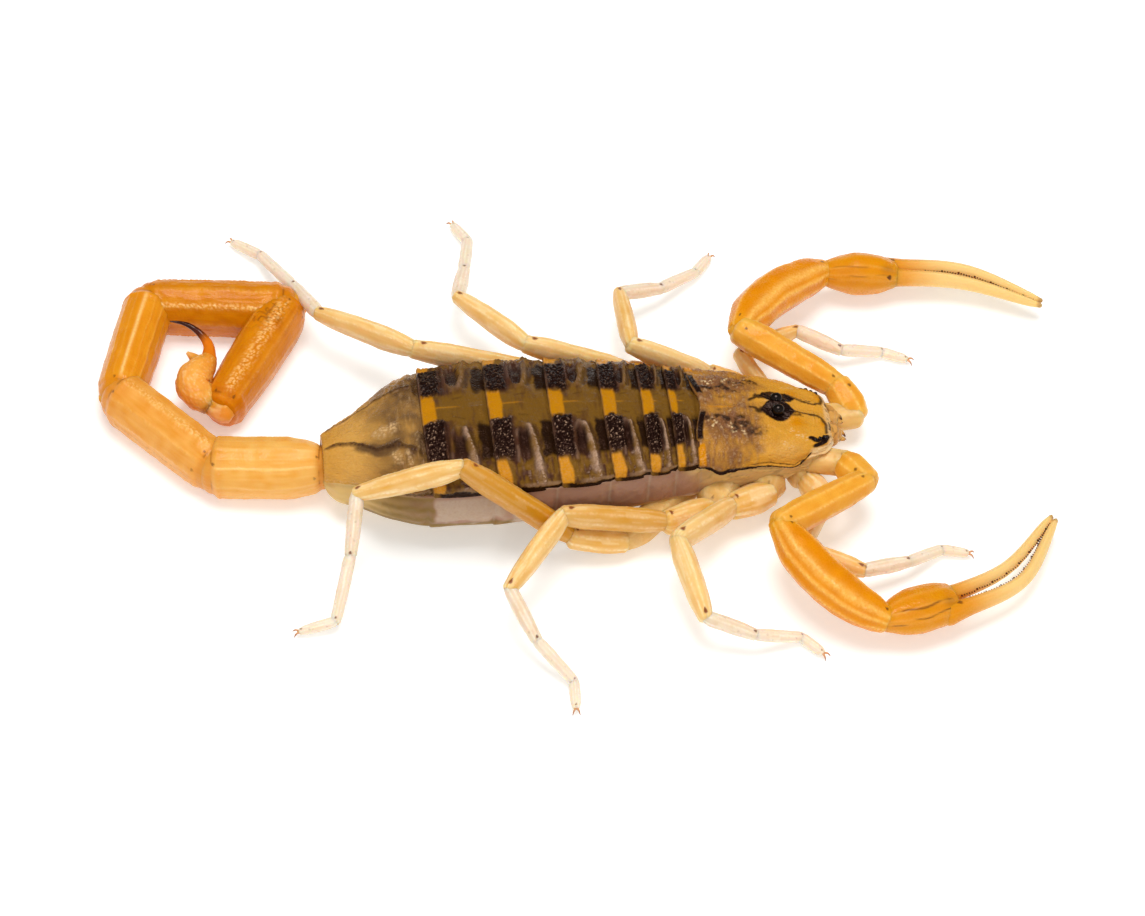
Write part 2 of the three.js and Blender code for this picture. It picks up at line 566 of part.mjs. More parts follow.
/** A leg's joints and its two upper parts as solids; grow widens them. */
function upperLeg(side, i, grow = 0) {
  const { hip, headings, heights } = LEG_STANCE[side][i];
  const joints = jointPoints(hip, LEG_LENGTHS[i], headings, [...heights, FOOT_HEIGHT]);
  const part = (index, shape, sides) => {
    const curve = new THREE.LineCurve3(joints[index], joints[index + 1]);
    const scaled = shape.map(([place, ...half]) => [place, ...half.map((size) => LEG_SIZE[i] * size)]);
    return limbPart({ curve, shape: scaled, sides, grow });
  };
  const thigh = part(0, LEG_SHAPES.trochanter, 6).add(part(1, LEG_SHAPES.femur, 8));
  const femur = keepSide(
    keepSide(thigh, joints[0], legHip(side, i).normal, GAP - 2 * grow),
    joints[2], jointNormal(joints, 2).negate(),
  );
  return { joints, femur, patella: cutAtJoints(part(2, LEG_SHAPES.patella, 8), joints, 2) };
}

/** What else takes up the room of a leg's upper parts: the leg before it and the belly, or the claw arm. */
function neighbours(side, i) {
  if (i > 0) {
    const before = upperLeg(side, i - 1, GAP);
    return softBody(BELLY_PLACES, GAP + PLATE).add(before.femur).add(before.patella);
  }
  const { trochanter, femur, patella } = palpArm(side, GAP);
  return trochanter.add(femur).add(patella);
}

/** The lower leg from the shin to the claws as one solid: its two inner joints are stiff bends. */
function footSolid(side, i, joints, grow = 0) {
  const curve = new THREE.CurvePath();
  joints.slice(3, 6).forEach((joint, k) => curve.add(new THREE.LineCurve3(joint, joints[k + 4])));
  const [shin, ankle, toe] = LEG_LENGTHS[i].slice(3);
  const reach = shin + ankle + toe;
  const shape = [
    [0, ...SHIN_TOP], [0.5 * shin / reach, ...SHIN_MIDDLE], [shin / reach, ...ANKLE],
    [(shin + ankle) / reach, ...ANKLE], [1, ...TOE],
  ];
  const foot = limbPart({ curve, shape, sides: 6, grow });
  const whole = foot.add(claws(joints[6], LEG_STANCE[side][i].headings[5]));
  return keepSide(whole, joints[3], jointNormal(joints, 3));
}

function addLeg(side, i) {
  const { joints, femur, patella } = upperLeg(side, i);
  const name = `leg_${i + 1}_${side}`;
  const taken = neighbours(side, i);
  addPart(`${name}_femur`, aboveFloor(femur.subtract(taken)), COLOURS.leg, joints[0], 0.42);
  addPart(`${name}_patella`, patella.subtract(taken), COLOURS.leg, joints[2], 0.42);
  addPart(`${name}_foot`, aboveFloor(footSolid(side, i, joints)), COLOURS.foot, joints[3], 0.42);
}

// ---- the whole animal ------------------------------------------------------------------------------

addCarapace();
addTergites();
addUnderside();
addChelicerae();
addTail();
addTelson();
for (const side of Object.keys(SIDES)) {
  addPedipalp(side);
  LEG_LENGTHS.forEach((_, i) => addLeg(side, i));
}

// The origin is under the middle of the whole animal, on the floor.
const box = new THREE.Box3().setFromObject(scorpion);
const centre = box.getCenter(vec(0, 0, 0));
scorpion.position.set(-centre.x, -centre.y, -box.min.z);

export default scorpion;
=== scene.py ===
"""A striped bark scorpion, life size, standing with its tail curled beside it. Lengths are in millimetres
in the animal's own frame: x towards the head from the joint of head shield and belly, y to its left,
z up from the floor."""

import math

import bpy
import numpy as np
from mathutils import Matrix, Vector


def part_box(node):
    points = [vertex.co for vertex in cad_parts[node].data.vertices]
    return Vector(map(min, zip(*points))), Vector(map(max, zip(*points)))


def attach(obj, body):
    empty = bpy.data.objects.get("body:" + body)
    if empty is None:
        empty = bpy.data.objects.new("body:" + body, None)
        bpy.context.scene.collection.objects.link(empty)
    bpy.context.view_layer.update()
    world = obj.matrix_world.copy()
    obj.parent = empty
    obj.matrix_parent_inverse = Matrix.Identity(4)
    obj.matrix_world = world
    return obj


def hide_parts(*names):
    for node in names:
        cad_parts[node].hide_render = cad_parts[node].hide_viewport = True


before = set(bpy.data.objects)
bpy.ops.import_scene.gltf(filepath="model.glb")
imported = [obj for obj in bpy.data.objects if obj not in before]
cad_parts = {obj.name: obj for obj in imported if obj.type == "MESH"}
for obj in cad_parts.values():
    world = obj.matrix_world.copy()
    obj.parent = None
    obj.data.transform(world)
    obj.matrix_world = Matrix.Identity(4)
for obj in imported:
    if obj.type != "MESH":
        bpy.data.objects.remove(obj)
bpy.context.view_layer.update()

MILLIMETRE = 0.001
SIDES = {"right": -1, "left": 1}
UP = np.array([0.0, 0.0, 1.0])


# ---- where the animal stands in the frame ----

def box_middle(node):
    low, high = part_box(node)
    return (np.array(low) + np.array(high)) / 2 / MILLIMETRE


EYES_MIDDLE = np.array([3.42, 0.141, 3.644])      # between the two median eyes
OFFSET = (box_middle("eye_median_right") + box_middle("eye_median_left")) / 2 - EYES_MIDDLE


# ---- soft steps, noise and lines ----

def smooth(low, high, value):
    """0 at low and 1 at high, with an S-shaped rise between; low may be the larger one."""
    share = np.clip((value - low) / (high - low), 0, 1)
    return share * share * (3 - 2 * share)


def band(value, low, high, soft):
    """1 between low and high, with soft edges."""
    return smooth(low - soft, low + soft, value) * (1 - smooth(high - soft, high + soft, value))


def crest(value, centre, width):
    """A rounded crest of height 1."""
    return np.exp(-(((value - centre) / width) ** 2))


def highest(fields):
    return np.maximum.reduce(fields)


def lattice(seed, size=64):
    return np.random.RandomState(seed).rand(size, size)


def cells(u, v, cell):
    """Places on a grid of cells, with the cell each is in."""
    u, v = np.broadcast_arrays(u / cell, v / cell)
    return u, v, np.floor(u).astype(int), np.floor(v).astype(int)


def lumps(u, v, cell, seed):
    """A soft uneven field from -1 to 1, with lumps about a cell across."""
    values = lattice(seed)
    u, v, i, j = cells(u, v, cell)
    fu, fv = ((f * f * (3 - 2 * f)) for f in (u - i, v - j))
    pick = lambda a, b: values[(i + a) % 64, (j + b) % 64]
    near, far = (pick(0, b) * (1 - fu) + pick(1, b) * fu for b in (0, 1))
    return (near * (1 - fv) + far * fv) * 2 - 1


def grains(u, v, cell, seed, size=0.5):
    """Rounded granules, one to a cell, as heights from 0 to 1."""
    shift_u, shift_v, tall = (lattice(seed + k) for k in range(3))
    u, v, i, j = cells(u, v, cell)
    height = np.zeros(u.shape)
    for a in (-1, 0, 1):
        for b in (-1, 0, 1):
            row, column = (i + a) % 64, (j + b) % 64
            far = np.hypot(u - i - a - shift_u[row, column], v - j - b - shift_v[row, column]) / size
            height = np.maximum(height, np.sqrt(np.clip(1 - far ** 2, 0, 1)) * (0.4 + 0.6 * tall[row, column]))
    return height


def stroke(u, v, points, width, soft=0.5):
    """A drawn line through points, 1 on the line, fading at its edges."""
    u, v = np.broadcast_arrays(u, v)
    nearest = np.full(u.shape, 1e9)
    for (u0, v0), (u1, v1) in zip(points[:-1], points[1:]):
        run_u, run_v = u1 - u0, v1 - v0
        share = np.clip(((u - u0) * run_u + (v - v0) * run_v) / max(run_u ** 2 + run_v ** 2, 1e-9), 0, 1)
        nearest = np.minimum(nearest, np.hypot(u - u0 - share * run_u, v - v0 - share * run_v))
    return 1 - smooth(width * (1 - soft), width * (1 + soft), nearest)


def hermite(t, first, last, lean, last_lean):
    """A cubic from first to last, with a lean at each."""
    return ((1 + 2 * t) * (1 - t) ** 2 * first + t * (1 - t) ** 2 * lean
            + t * t * (3 - 2 * t) * last + t * t * (t - 1) * last_lean)


def profile(rows, place):
    """Columns of rows [place, value, value] at other places, on smooth lines that don't overshoot."""
    rows = np.array(rows, float)
    at, values = rows[:, 0], rows[:, 1:]
    step = np.diff(at)[:, None]
    slope = np.diff(values, axis=0) / step
    product, total = slope[1:] * slope[:-1], slope[1:] + slope[:-1]
    lean = np.where(product > 0, 2 * product / np.where(total == 0, 1, total), 0)
    lean = np.vstack([slope[:1], lean, slope[-1:]])
    i = np.clip(np.searchsorted(at, place) - 1, 0, len(step) - 1)
    t = np.clip((place - at[i]) / step[i, 0], 0, 1)[:, None]
    return hermite(t, values[i], values[i + 1], step[i] * lean[i], step[i] * lean[i + 1])


def unit(vectors):
    return vectors / np.linalg.norm(vectors, axis=-1, keepdims=True)


class Line:
    """A line in space, measured from 0 at its start to 1 at its end."""

    def __init__(self, points):
        self.points = np.array(points, float)
        steps = np.linalg.norm(np.diff(self.points, axis=0), axis=1)
        self.length = steps.sum()
        self.places = np.concatenate([[0], np.cumsum(steps)]) / self.length

    def at(self, place):
        return np.stack([np.interp(place, self.places, axis) for axis in self.points.T], axis=-1)

    def heading(self, place):
        return unit(self.at(np.clip(place + 0.01, 0, 1)) - self.at(np.clip(place - 0.01, 0, 1)))


def curve_through(points, steps=24):
    """A smooth curve through points."""
    points = np.array(points, float)
    chord = np.concatenate([[0], np.cumsum(np.linalg.norm(np.diff(points, axis=0), axis=1))])
    pull = np.gradient(points, chord, axis=0)
    t = np.linspace(0, chord[-1], steps * (len(points) - 1) + 1)
    i = np.clip(np.searchsorted(chord, t, "right") - 1, 0, len(points) - 2)
    run = (chord[i + 1] - chord[i])[:, None]
    return Line(hermite((t - chord[i])[:, None] / run, points[i], points[i + 1], run * pull[i], run * pull[i + 1]))


def bowed(start, control, end):
    t = np.linspace(0, 1, 32)[:, None]
    return Line((1 - t) ** 2 * start + 2 * t * (1 - t) * control + t * t * end)


# ---- surfaces ----

class Surface:
    """A grid of points with an outward direction at each: rows along a piece, columns around or across it."""

    def __init__(self, points, outward, fade, along, around, **places):
        self.points, self.outward, self.fade = points, outward, fade
        self.along, self.around = np.broadcast_arrays(along, around)
        self.lie = np.stack([self.along, self.around], -1)
        for name, values in places.items():
            setattr(self, name, np.broadcast_to(values, points.shape[:2]))

    def raised(self, relief):
        return self.points + self.outward * (self.fade * relief)[..., None]

    def lumps(self, cell, seed):
        return lumps(self.along, self.around, cell, seed)

    def grains(self, cell, seed, size=0.5):
        return grains(self.along, self.around, cell, seed, size)

    def gap(self, degrees):
        """How far round a limb each place is from an angle, in degrees."""
        return (np.degrees(self.turn) - degrees + 180) % 360 - 180

    def ray(self, degrees, width, shake=0.0):
        """A rounded line along a limb, at an angle and a half width in degrees."""
        return np.exp(-((self.gap(degrees) + shake) / width) ** 2)

    def keeled(self, keels, seed):
        """Long keels round a limb part, given as (degrees round, height, half width in degrees, knob size)."""
        relief, lines = 0.0, 0.0
        shake = 2.5 * lumps(self.along, self.turn, 0.7, seed)
        for degrees, height, width, knobs in keels:
            line = self.ray(degrees, width, shake)
            if knobs:
                line = line * (0.45 + 0.75 * grains(self.along, self.around + degrees, knobs, seed + 7, size=0.55))
            relief = relief + height * line
            lines = np.maximum(lines, line)
        return relief, lines

    def facets(self, angles, depth):
        """Flattens the sides of a limb part between its keels."""
        return -depth * smooth(0, 24, np.min([np.abs(self.gap(angle)) for angle in angles], axis=0))

    def end_spot(self, at, degrees, half_long, half_wide):
        """A dark wedge near a joint: at is the place along the part, half sizes in millimetres and degrees."""
        far = (self.place - at) * self.length
        narrowing = np.clip(1 + 0.8 * far / half_long, 0.25, 2)
        return 1 - smooth(0.7, 1.2, np.hypot(far / half_long, self.gap(degrees) / half_wide / narrowing))


def limb_surface(line, shape, step=0.05, square=1.0, ends=0.55):
    """A limb part along a line. shape lists [place, half width, half height]; its ends bulge past the line."""
    shape = np.array(shape, float)
    ends = ends if isinstance(ends, tuple) else (ends, ends)
    inner = np.linspace(0, 1, max(int(line.length / step), 3) + 1)
    dome = np.radians(np.linspace(86, 0, int(np.clip(shape[:, 1].max() / step, 3, 8)) + 1)[:-1])
    place = np.concatenate([0 * dome, inner, 1 + 0 * dome])
    past = np.concatenate([-ends[0] * shape[0, 2] * np.sin(dome), 0 * inner,
                           ends[1] * shape[-1, 2] * np.sin(dome[::-1])])
    fade = np.concatenate([np.cos(dome), 1 + 0 * inner, np.cos(dome[::-1])])[:, None]
    half = profile(shape, place) * fade
    ahead = line.heading(place)
    across = unit(np.cross(UP, ahead))
    up = np.cross(ahead, across)
    centre = line.at(place) + ahead * past[:, None]
    girth = math.pi * (shape[:, 1].max() + shape[:, 2].max())
    turn = np.linspace(0, 2 * math.pi, max(int(girth / step), 12), endpoint=False)[None, :]
    c, s = (np.sign(v) * np.abs(v) ** square for v in (np.cos(turn), np.sin(turn)))
    points = (centre[:, None] + across[:, None] * (half[:, :1] * c)[..., None]
              + up[:, None] * (half[:, 1:] * s)[..., None])
    outward = unit(across[:, None] * c[..., None] + up[:, None] * s[..., None])
    made = Surface(points, outward, fade, (place * line.length + past)[:, None], turn * girth / (2 * math.pi),
                   place=place[:, None], turn=turn)
    made.length = line.length
    return made


def quads(index):
    """The faces between neighbouring places of a grid."""
    return np.stack([index[:-1, :-1], index[:-1, 1:], index[1:, 1:], index[1:, :-1]], -1).reshape(-1, 4)


def placed(name, data):
    """A new object in the scene."""
    made = bpy.data.objects.new(name, data)
    bpy.context.scene.collection.objects.link(made)
    return made


class Piece:
    """Closed surfaces that make one piece, with the marks its finish reads."""
    MARKS = ("turning", "warm", "pale", "dark")

    def __init__(self, name, surface=None, relief=0.0, **marks):
        self.name = name
        self.points, self.faces, self.lie, self.count = [], [], [], 0
        self.marks = {mark: [] for mark in self.MARKS}
        if surface:
            self.add(surface, relief, **marks)

    def add_points(self, points, lie, marks):
        """Takes up points with their marks and gives their numbers in the mesh, as a grid."""
        self.points.append(points.reshape(-1, 3))
        self.lie.append(lie.reshape(-1, 2))
        for mark in self.MARKS:
            values = np.broadcast_to(marks.get(mark, 0.0), points.shape[:-1])
            self.marks[mark].append(np.clip(values, 0, 1).reshape(-1))
        index = self.count + np.arange(points[..., 0].size).reshape(points.shape[:-1])
        self.count += index.size
        return index

    def add(self, surface, relief=0.0, **marks):
        """Adds a surface that closes on itself around, with a small fan at each end."""
        points = surface.raised(relief + np.zeros(surface.points.shape[:2]))
        points[..., 2] = np.maximum(points[..., 2], 0)
        index = self.add_points(points, surface.lie, marks)
        index = np.hstack([index, index[:, :1]])
        self.faces.append(quads(index))
        for row, edge in ((0, (index[0, 1:], index[0, :-1])), (-1, (index[-1, :-1], index[-1, 1:]))):
            ends = {mark: np.mean(np.broadcast_to(values, points.shape[:2])[row], keepdims=True)
                    for mark, values in marks.items()}
            tip = self.add_points(points[row].mean(axis=0, keepdims=True), surface.lie[row, :1] * (1, 0), ends)
            self.faces.append(np.stack([*edge, 0 * edge[0] + tip], -1))
        return self

    def add_plate(self, surface, relief, thickness=0.3, **marks):
        """Adds an open sheet as a closed plate: the surface above and the same sheet, thickness lower, below."""
        below = surface.points + surface.outward * (np.minimum(relief, 0) - thickness)[..., None]
        top, under = (self.add_points(sheet, surface.lie, marks) for sheet in (surface.raised(relief), below))
        self.faces += [quads(top), quads(under)[:, ::-1]]
        for edge in (np.s_[0, ::-1], np.s_[:, 0], np.s_[-1, :], np.s_[::-1, -1]):
            self.faces.append(quads(np.stack([top[edge], under[edge]])))
        return self

    def finish(self, finish, slot, *nodes):
        """Makes the mesh, gives it its finish, and lets it stand for the nodes."""
        points = (np.concatenate(self.points) + OFFSET) * MILLIMETRE
        sizes = np.concatenate([np.full(len(faces), faces.shape[1]) for faces in self.faces])
        corners = np.concatenate([faces.reshape(-1) for faces in self.faces])
        starts = np.cumsum(sizes) - sizes
        mesh = bpy.data.meshes.new(self.name)
        for rows, key, values in ((mesh.vertices, "co", points.astype(np.float32)),
                                  (mesh.loops, "vertex_index", corners.astype(np.int32)),
                                  (mesh.polygons, "loop_start", starts.astype(np.int32))):
            rows.add(len(values))
            rows.foreach_set(key, values.reshape(-1))
        mesh.polygons.foreach_set("use_smooth", np.ones(len(sizes), bool))
        mesh.update(calc_edges=True)
        mesh.validate()
        for mark in self.MARKS:
            values = np.concatenate(self.marks[mark]).astype(np.float32)
            mesh.attributes.new(mark, "FLOAT", "POINT").data.foreach_set("value", values)
        lie = np.pad(np.concatenate(self.lie), ((0, 0), (0, 1))).astype(np.float32)
        mesh.attributes.new("lie", "FLOAT_VECTOR", "POINT").data.foreach_set("vector", lie.reshape(-1))
        mesh.materials.append(FINISHES[finish])
        made = placed(self.name, mesh)
        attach(made, "root")
        if nodes:
            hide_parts(*nodes)


# ---- finishes ----

def tint(code):
    """A colour from its screen code, such as ff8000."""
    screen = [int(code[k:k + 2], 16) for k in (0, 2, 4)]
    return (*[v / 255 / 12.92 if v <= 10 else ((v / 255 + 0.055) / 1.055) ** 2.4 for v in screen], 1.0)


def fill(tree, node, inputs):
    """Joins or fills a node's inputs."""
    for name, value in inputs.items():
        if isinstance(value, bpy.types.NodeSocket):
            tree.links.new(value, node.inputs[name])
        else:
            node.inputs[name].default_value = value
    return node


def wire(tree, kind, inputs=None, **settings):
    """Adds a node, sets it, and joins or fills its inputs."""
    node = tree.nodes.new("ShaderNode" + kind)
    for name, value in settings.items():
        setattr(node, name, value)
    return fill(tree, node, inputs or {})


def bare_material(name):
    """A new material with an empty node tree, and that tree."""
    material = bpy.data.materials.new(name)
    material.use_nodes = True
    material.node_tree.nodes.clear()
    return material, material.node_tree


def blended(tree, share, first, second):
    """The colour between two, by share."""
    return wire(tree, "Mix", {0: share, 6: first, 7: second}, data_type="RGBA").outputs[2]


def reckon(tree, operation, first, second=0.0, third=0.0, clamp=False):
    """The result of a sum on two or three values."""
    return wire(tree, "Math", {0: first, 1: second, 2: third}, operation=operation, use_clamp=clamp).outputs[0]


TONES = ("Ground", "Second", "Warm", "Pale", "Dark")
SETTINGS = ("Mottle size", "Mottle", "Streaks", "Grain size", "Grain", "Roughness")


def cuticle_tones():
    """Colour, roughness and fine height of a cuticle: mottled and streaked grounds under painted marks."""
    group = bpy.data.node_groups.new("cuticle tones", "ShaderNodeTree")
    marks = [f"{mark.capitalize()} mark" for mark in Piece.MARKS]
    for way, kind, names in (("INPUT", "Color", TONES), ("INPUT", "Float", [*marks, *SETTINGS]),
                             ("INPUT", "Vector", ["Lie"]), ("OUTPUT", "Color", ["Color"]),
                             ("OUTPUT", "Float", ["Roughness", "Height"])):
        for name in names:
            group.interface.new_socket(name, in_out=way, socket_type="NodeSocket" + kind)
    given = group.nodes.new("NodeGroupInput").outputs
    sum_of = lambda *values, **settings: reckon(group, *values, **settings)
    place = wire(group, "TexCoord").outputs["Object"]
    place = wire(group, "VectorMath", {0: place, 3: 1 / MILLIMETRE}, operation="SCALE").outputs[0]
    mottle = wire(group, "TexNoise", {"Vector": place, "Scale": given["Mottle size"], "Detail": 4.0,
                                      "Roughness": 0.6}).outputs["Fac"]
    drawn = wire(group, "VectorMath", {0: given["Lie"], 1: (0.7, 7.0, 1.0)}, operation="MULTIPLY").outputs[0]
    streak = wire(group, "TexNoise", {"Vector": drawn, "Scale": 1.0, "Detail": 3.0}).outputs["Fac"]
    fine = wire(group, "TexNoise", {"Vector": place, "Scale": given["Grain size"], "Detail": 2.0}).outputs["Fac"]
    cell = wire(group, "TexVoronoi", {"Vector": place, "Scale": given["Grain size"]}).outputs["Distance"]
    uneven = sum_of("MULTIPLY", sum_of("SUBTRACT", mottle, 0.5), given["Mottle"])
    lined = sum_of("MULTIPLY", sum_of("SUBTRACT", streak, 0.5), given["Streaks"])
    share = sum_of("ADD", given["Turning mark"], sum_of("ADD", uneven, lined), clamp=True)
    broken = sum_of("MULTIPLY", given["Pale mark"], sum_of("ADD", fine, 0.45), clamp=True)
    # Half-dark places turn ragged; full ones stay solid.
    dark = given["Dark mark"]
    half_dark = sum_of("MULTIPLY", dark, sum_of("SUBTRACT", 2.0, sum_of("MULTIPLY", dark, 2.0)))
    edged = sum_of("MULTIPLY_ADD", sum_of("SUBTRACT", fine, 0.5), half_dark, dark, clamp=True)
    colour = given["Ground"]
    for amount, tone in ((share, "Second"), (given["Warm mark"], "Warm"), (broken, "Pale"), (edged, "Dark")):
        colour = blended(group, amount, colour, given[tone])
    rough = sum_of("MULTIPLY_ADD", fine, 0.16, sum_of("SUBTRACT", given["Roughness"], 0.08))
    domes = sum_of("SUBTRACT", 0.8, cell, clamp=True)
    height = sum_of("MULTIPLY_ADD", streak, 0.5, sum_of("MULTIPLY", sum_of("ADD", domes, fine), given["Grain"]))
    fill(group, group.nodes.new("NodeGroupOutput"), {"Color": colour, "Roughness": rough, "Height": height})
    return group


CUTICLE_TONES = cuticle_tones()
BLACKISH = "261614"


def cuticle(name, tones, mottle_size=1.6, mottle=0.5, streaks=0.3, grain_size=9.0, grain=1.0, roughness=0.38,
            relief=0.012, flesh=0.35, flesh_depth=0.5, coat=0.12, gloss=0.2):
    """A horny or soft skin in two to five tones: relief and flesh_depth are in millimetres."""
    material, tree = bare_material(name)
    codes = (tones.split() + ["-"] * 3)[:5]
    usual = (codes[0], codes[1], codes[1], codes[0], BLACKISH)
    inputs = {tone: tint(own if code == "-" else code) for tone, code, own in zip(TONES, codes, usual)}
    inputs.update(zip(SETTINGS, (mottle_size, mottle, streaks, grain_size, grain, roughness)))
    for mark in Piece.MARKS:
        inputs[f"{mark.capitalize()} mark"] = wire(tree, "Attribute", attribute_name=mark).outputs["Fac"]
    inputs["Lie"] = wire(tree, "Attribute", attribute_name="lie").outputs["Vector"]
    made = wire(tree, "Group", inputs, node_tree=CUTICLE_TONES).outputs
    bump = wire(tree, "Bump", {"Height": made["Height"], "Strength": 0.8, "Distance": relief * MILLIMETRE})
    shader = wire(tree, "BsdfPrincipled", {
        "Base Color": made["Color"], "Roughness": made["Roughness"], "Normal": bump.outputs["Normal"],
        "Subsurface Weight": flesh, "Subsurface Radius": (1.0, 0.6, 0.25),
        "Subsurface Scale": flesh_depth * MILLIMETRE, "Coat Weight": coat, "Coat Roughness": 0.1,
        "Specular IOR Level": gloss, "Specular Tint": (1.0, 0.55, 0.4, 1.0)})
    wire(tree, "OutputMaterial", {"Surface": shader.outputs["BSDF"]})
    return material


# Tones are the screen codes of ground, second, warm, pale and dark; a dash stands for the tone's usual one.
FINISHES = {
    "tergite": cuticle("tergite_cuticle", "72501a 462a1e ca8602 b89880 160705", mottle=0.6, streaks=0.2,
        grain_size=11, relief=0.025, flesh=0.1, roughness=0.24, coat=0.0, gloss=0.11),
    "tergite_last": cuticle("last_tergite_cuticle", "d6a04c 7c5c36 ca8602 d6b07c 28100a", streaks=0.2,
        grain_size=11, relief=0.02, flesh=0.15, roughness=0.27, coat=0.08, gloss=0.15),
    "carapace": cuticle("carapace_cuticle", "d49732 7e5434 ce8404 eaca98 160806", mottle=0.95, mottle_size=0.9,
        streaks=0.15, grain_size=12, relief=0.016, flesh=0.15, roughness=0.27, coat=0.06, gloss=0.15),
    "membrane": cuticle("side_membrane", "a07a66 e2bc76 7c6024 b49c86", mottle_size=0.8, mottle=0.35,
        grain=0.4, relief=0.02, flesh=0.4, flesh_depth=0.6, roughness=0.4),
    "coxa": cuticle("coxa_cuticle", "e8bc70 c6964e - f8dea8 5a2e14", flesh=0.5, roughness=0.36),
    "eye": cuticle("eye_lens", "040303 090605", mottle=0.2, streaks=0.0, grain=0.02, relief=0.0005, flesh=0.0,
        roughness=0.12, coat=0.25, gloss=0.15),
    "chelicera": cuticle("chelicera_cuticle", "dea858 a66a32 - f4d4a0 3c1c0e", mottle_size=4.5, mottle=1.0),
    "palp": cuticle("claw_arm_cuticle", "e89200 d87e00 f0ac28 fcce70 542208", mottle=0.4, streaks=0.5, grain_size=13,
        relief=0.01, flesh=0.4, roughness=0.28),
    "palp_base": cuticle("claw_arm_base_cuticle", "eeae3e e49218 f4be5a fcd078 542208", mottle=0.4, streaks=0.5,
        grain_size=13, relief=0.01, flesh=0.45, roughness=0.3),
    "hand": cuticle("claw_cuticle", "e09206 f0ca82 d88400 fad082 502008", mottle=0.25, grain_size=13,
        relief=0.008, flesh=0.4, roughness=0.28),
    "leg": cuticle("thigh_cuticle", "dea238 f0ca86 c68608 fdeac0 78280a", streaks=0.8, grain_size=12,
        relief=0.008, flesh=0.5, roughness=0.32),
    "foot": cuticle("foot_cuticle", "eadac5 dfc6a4 e2be82 fdf7ea 682e16", mottle=0.4, streaks=0.5, grain_size=12,
        relief=0.006, flesh=0.6, roughness=0.3),
    "joint": cuticle("joint_membrane", "f0cc92 e2b268", grain=0.3, flesh=0.6, roughness=0.4),
    "amber_joint": cuticle("amber_joint_membrane", "eca432 d88a1a", grain=0.3, flesh=0.5, roughness=0.4),
    "telson": cuticle("venom_bulb_cuticle", "f0ac4c e68e24 - ffdeaa 682a0c", mottle=0.35, streaks=0.2, relief=0.008,
        flesh=0.5, roughness=0.3),
    "sting": cuticle("sting_horn", "e07808 4e1404 - f0be78 1a0404", mottle=0.2, streaks=0.1, grain=0.1, relief=0.002,
        flesh=0.2, roughness=0.16, coat=0.4),
    "tooth": cuticle("dark_horn", "54220a 2c0e04", mottle=0.6, grain=0.2, relief=0.003, flesh=0.1, roughness=0.3),
    "claw_hook": cuticle("foot_claw_horn", "d8a076 823e28", mottle=0.3, grain=0.2, relief=0.002, flesh=0.2,
        roughness=0.25),
    "pecten": cuticle("comb_cuticle", "e8c892 cea668", flesh=0.5),
}
RING_TONES = ["f0ba62 e8a03c", "eeac52 e29228", "e6981c d88206", "da8a06 c87200", "da8600 c46c00"]
for ring, tones in enumerate(RING_TONES, start=1):
    FINISHES[f"tail_{ring}"] = cuticle(f"tail_ring_{ring}_cuticle", tones + " d67c08 fcd084 54220a", mottle=0.35,
        streaks=0.5, grain_size=12, relief=0.01, flesh=0.4, roughness=0.3)


# ---- trunk ----

TRUNK_HEIGHT = 2.5
TRUNK_ROLL = math.radians(-11)
CARAPACE_LENGTH = 5.7
TAIL_START = -15.45
TERGITE_ENDS = [-1.05, -2.2, -3.85, -6.05, -8.6, -11.35, -15.45]
ARCH = 0.85
# [x, aside, half width, edge, crown, belly], heights from the trunk's axis.
TRUNK = [
    [-15.45, -0.28, 1.25, -0.60, 0.45, -1.95], [-14.1, -0.24, 1.95, -0.30, 0.95, -2.0],
    [-12.75, -0.20, 3.0, 0.05, 1.45, -2.0], [-11.1, -0.14, 3.75, 0.40, 1.85, -2.0],
    [-8.35, -0.04, 3.90, 0.50, 1.87, -2.05], [-5.8, 0, 3.82, 0.50, 1.75, -2.0],
    [-3.6, 0, 3.58, 0.48, 1.64, -2.0], [-2.1, 0, 3.32, 0.45, 1.55, -1.95], [0, 0, 2.92, 0.35, 1.40, -1.85],
    [2.5, 0, 2.60, -0.10, 1.12, -1.7], [4.4, 0, 2.12, -0.22, 0.72, -1.45], [5.2, 0, 1.80, -0.24, 0.48, -1.25],
    [5.7, 0, 1.35, -0.26, 0.22, -1.10],
]


def in_trunk(x, y, z):
    """A place given from the trunk's rolled axis, in the animal's frame."""
    x, y, z = np.broadcast_arrays(x, y, z)
    cos, sin = math.cos(TRUNK_ROLL), math.sin(TRUNK_ROLL)
    return np.stack([x, y * cos - z * sin, TRUNK_HEIGHT + y * sin + z * cos], -1)


def back_surface(x, phi):
    """The arched back: phi runs from 0 at the right edge to pi at the left."""
    aside, half_width, edge, crown = profile(TRUNK, x.reshape(-1))[:, :4].T.reshape(4, *x.shape)
    points = in_trunk(x, aside - half_width * np.cos(phi), edge + (crown - edge) * np.sin(phi) ** ARCH)
    outward = unit(in_trunk(0 * x, -np.cos(phi) * (crown - edge) / half_width * 1.4, np.sin(phi) + 0.02)
                   - in_trunk(0, 0, 0))
    return points, outward


def back_plate(rear, front, bow, step=0.04, columns=220):
    """A plate of the back from rear to front; its rear edge bows forward by bow at the sides."""
    phi = np.linspace(0.0, math.pi, columns)[None, :]
    share = np.linspace(0, 1, int((front - rear) / step))[:, None]
    rear_edge = rear + bow * (1 - np.sin(phi))
    x = rear_edge + (front - rear_edge) * share
    return Surface(*back_surface(x, phi), np.ones(x.shape), x, phi * 2.9, x=x, phi=phi,
                   fold=np.minimum(phi, math.pi - phi), back=x - rear_edge, share=share)


